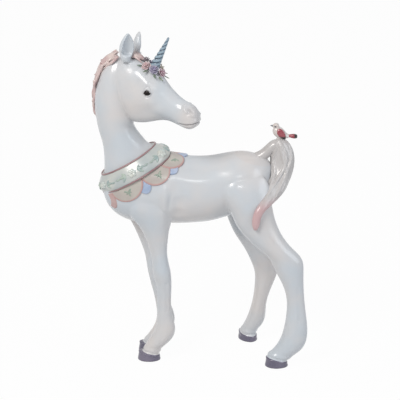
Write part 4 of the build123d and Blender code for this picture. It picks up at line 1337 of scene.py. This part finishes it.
class UNICORN_OT_bird(bpy.types.Operator):
    """Make the small bird that perches on the tail"""

    bl_idname = "unicorn.bird"
    bl_label = "Bird"

    def execute(self, context):
        colour = colours()
        mesh = cast_node("bird_body", mm(0.25), 8)
        x, y, z = on_bird(mesh)
        beak = smooth_step(-5.0, -5.4, x) * smooth_step(3.2, 3.8, z)
        eye = smooth_step(1.0, 0.6, np.hypot(x + 3.3, z - 4.9)) * smooth_step(1.2, 1.6, np.abs(y))
        paint(mesh, "mark", np.maximum(beak, eye * 0.9))
        # The bird's white is clouded with the beige tint, partly its own tone and partly a painted
        # reflection.
        white = glaze("bird_glaze", colour.white, colour.warm_tone_and_sheen, 200, marks=(("mark", colour.beak),))
        show("bird_body", mesh, white, ["bird_body"])
        tips = (("tip", colour.wing_tip),)
        red = glaze("wing_glaze", colour.wing, srgb(178, 96, 104), 260, marks=tips)
        for name in ("bird_wing_left", "bird_wing_right", "bird_tail"):
            mesh = cast_node(name, mm(0.22), 5)
            x, _, z = on_bird(mesh)
            if name == "bird_tail":
                paint(mesh, "tip", smooth_step(10.6, 11.6, x))
                show(name, mesh, red, [name])
            else:
                paint(mesh, "tip", smooth_step(-2.2, -3.4, z))
                show(name, mesh, red, [name])
        return {"FINISHED"}


# ---------------------------------------------------------------- stage
# Name, place, size, power and colour of each lamp; they all point at the middle of the figurine
LAMPS = (
    ("key", (-0.65, -0.9, 1.10), (0.65, 0.65), 12.0, (1.0, 0.97, 0.94)),
    ("side", (0.95, -0.55, 0.55), (0.5, 0.9), 3.0, (0.88, 0.93, 1.0)),
    ("top", (0.1, 0.2, 1.2), (1.2, 1.2), 0.8, (1.0, 1.0, 1.0)),
    ("window", (0.10, -1.2, 0.90), (0.22, 0.08), 0.7, (0.97, 0.99, 1.0)),
)
LAMP_AIM = Vector((0, 0, 0.12))
SENSOR_WIDTH = 36                  # mm, as lenses are named
LENS = 147.33
VIEW_MIDDLE = mm(0, MIDDLE, 127)


def soft_lamp(name, place, size, power, colour):
    """A large soft lamp."""
    lamp = bpy.data.lights.new(name, "AREA")
    lamp.shape = "ELLIPSE"
    lamp.size, lamp.size_y = size
    lamp.energy = power
    lamp.color = colour
    holder = linked(name, lamp)
    holder.location = place
    holder.rotation_euler = (LAMP_AIM - Vector(place)).to_track_quat("-Z", "Y").to_euler()


def white_where_seen(tree, surface, white, strength, output):
    """Mixes plain white over a surface where the camera or a reflection sees it straight."""
    ray = add_node(tree, "LightPath", {}).outputs
    seen = ray["Is Camera Ray"]
    for kind in ("Is Glossy Ray", "Is Transmission Ray"):
        seen = add_node(tree, "Math", {0: seen, 1: ray[kind]}, operation="MAXIMUM").outputs["Value"]
    share = add_node(tree, "Math", {0: seen, 1: strength}, operation="MULTIPLY").outputs["Value"]
    mix = add_node(tree, "MixShader", {0: share, 1: surface, 2: white})
    connect(tree, tree.nodes[output], {"Surface": mix.outputs["Shader"]})


def pale_floor():
    """A wide pale floor that shows as white."""
    bm = bmesh.new()
    bmesh.ops.create_grid(bm, x_segments=1, y_segments=1, size=6)
    floor = linked("floor", mesh_of(bm, "floor"))
    material = bpy.data.materials.new("floor")
    material.use_nodes = True
    tree = material.node_tree
    matt = tree.nodes["Principled BSDF"]
    connect(tree, matt, {"Base Color": (0.80, 0.80, 0.80, 1), "Roughness": 1, "Specular IOR Level": 0})
    glow = add_node(tree, "Emission", {}).outputs["Emission"]
    white_where_seen(tree, matt.outputs["BSDF"], glow, 0.97, "Material Output")
    floor.data.materials.append(material)


def studio_light():
    """A dim cool light from all round, with white behind the figurine."""
    world = bpy.data.worlds.new("studio")
    bpy.context.scene.world = world
    world.use_nodes = True
    tree = world.node_tree
    sky = tree.nodes["Background"]
    connect(tree, sky, {"Color": (0.82, 0.83, 0.86, 1), "Strength": 0.38})
    white = add_node(tree, "Background", {}).outputs["Background"]
    white_where_seen(tree, sky.outputs["Background"], white, 1, "World Output")


class UNICORN_OT_stage(bpy.types.Operator):
    """Set up the pale floor, the soft lamps and the camera"""

    bl_idname = "unicorn.stage"
    bl_label = "Stage"

    def execute(self, context):
        scene = context.scene
        scene.view_settings.view_transform = "Standard"
        pale_floor()
        studio_light()
        for lamp in LAMPS:
            soft_lamp(*lamp)
        view = bpy.data.cameras.new("camera")
        view.sensor_width = SENSOR_WIDTH
        view.lens = LENS
        view.clip_start = 0.05
        camera = linked("camera", view)
        tilt = sizes().camera_height
        look = Vector((0, cos(tilt), -sin(tilt)))
        camera.location = VIEW_MIDDLE - look * sizes().camera_distance
        camera.rotation_euler = look.to_track_quat("-Z", "Y").to_euler()
        scene.camera = camera
        return {"FINISHED"}


# ---------------------------------------------------------------- panel and registration
PIECES = (
    UNICORN_OT_skin,
    UNICORN_OT_horn,
    UNICORN_OT_hair,
    UNICORN_OT_wreath,
    UNICORN_OT_collar,
    UNICORN_OT_lappets,
    UNICORN_OT_bird,
    UNICORN_OT_stage,
)


class UNICORN_PT_pieces(bpy.types.Panel):
    """Lists the pieces of the figurine with their sizes and colours"""

    bl_idname = "UNICORN_PT_pieces"
    bl_label = "Unicorn foal"
    bl_space_type = "VIEW_3D"
    bl_region_type = "UI"
    bl_category = "Unicorn"

    def draw(self, context):
        layout = self.layout
        for piece in PIECES:
            layout.operator(piece.bl_idname)
        for group in (context.scene.unicorn_sizes, context.scene.unicorn_colours):
            box = layout.box()
            for name in group.__annotations__:
                box.prop(group, name)


CLASSES = (UnicornSizes, UnicornColours, *PIECES, UNICORN_PT_pieces)


def register():
    """Makes the classes and the settings known to the program."""
    for item in CLASSES:
        bpy.utils.register_class(item)
    bpy.types.Scene.unicorn_sizes = bpy.props.PointerProperty(type=UnicornSizes)
    bpy.types.Scene.unicorn_colours = bpy.props.PointerProperty(type=UnicornColours)


def unregister():
    """Takes the settings and the classes out again."""
    del bpy.types.Scene.unicorn_colours
    del bpy.types.Scene.unicorn_sizes
    for item in reversed(CLASSES):
        bpy.utils.unregister_class(item)


def main():
    """Builds every piece and the stage."""
    register()
    for piece in PIECES:
        group, name = piece.bl_idname.split(".")
        getattr(getattr(bpy.ops, group), name)()


if __name__ == "__main__":
    main()
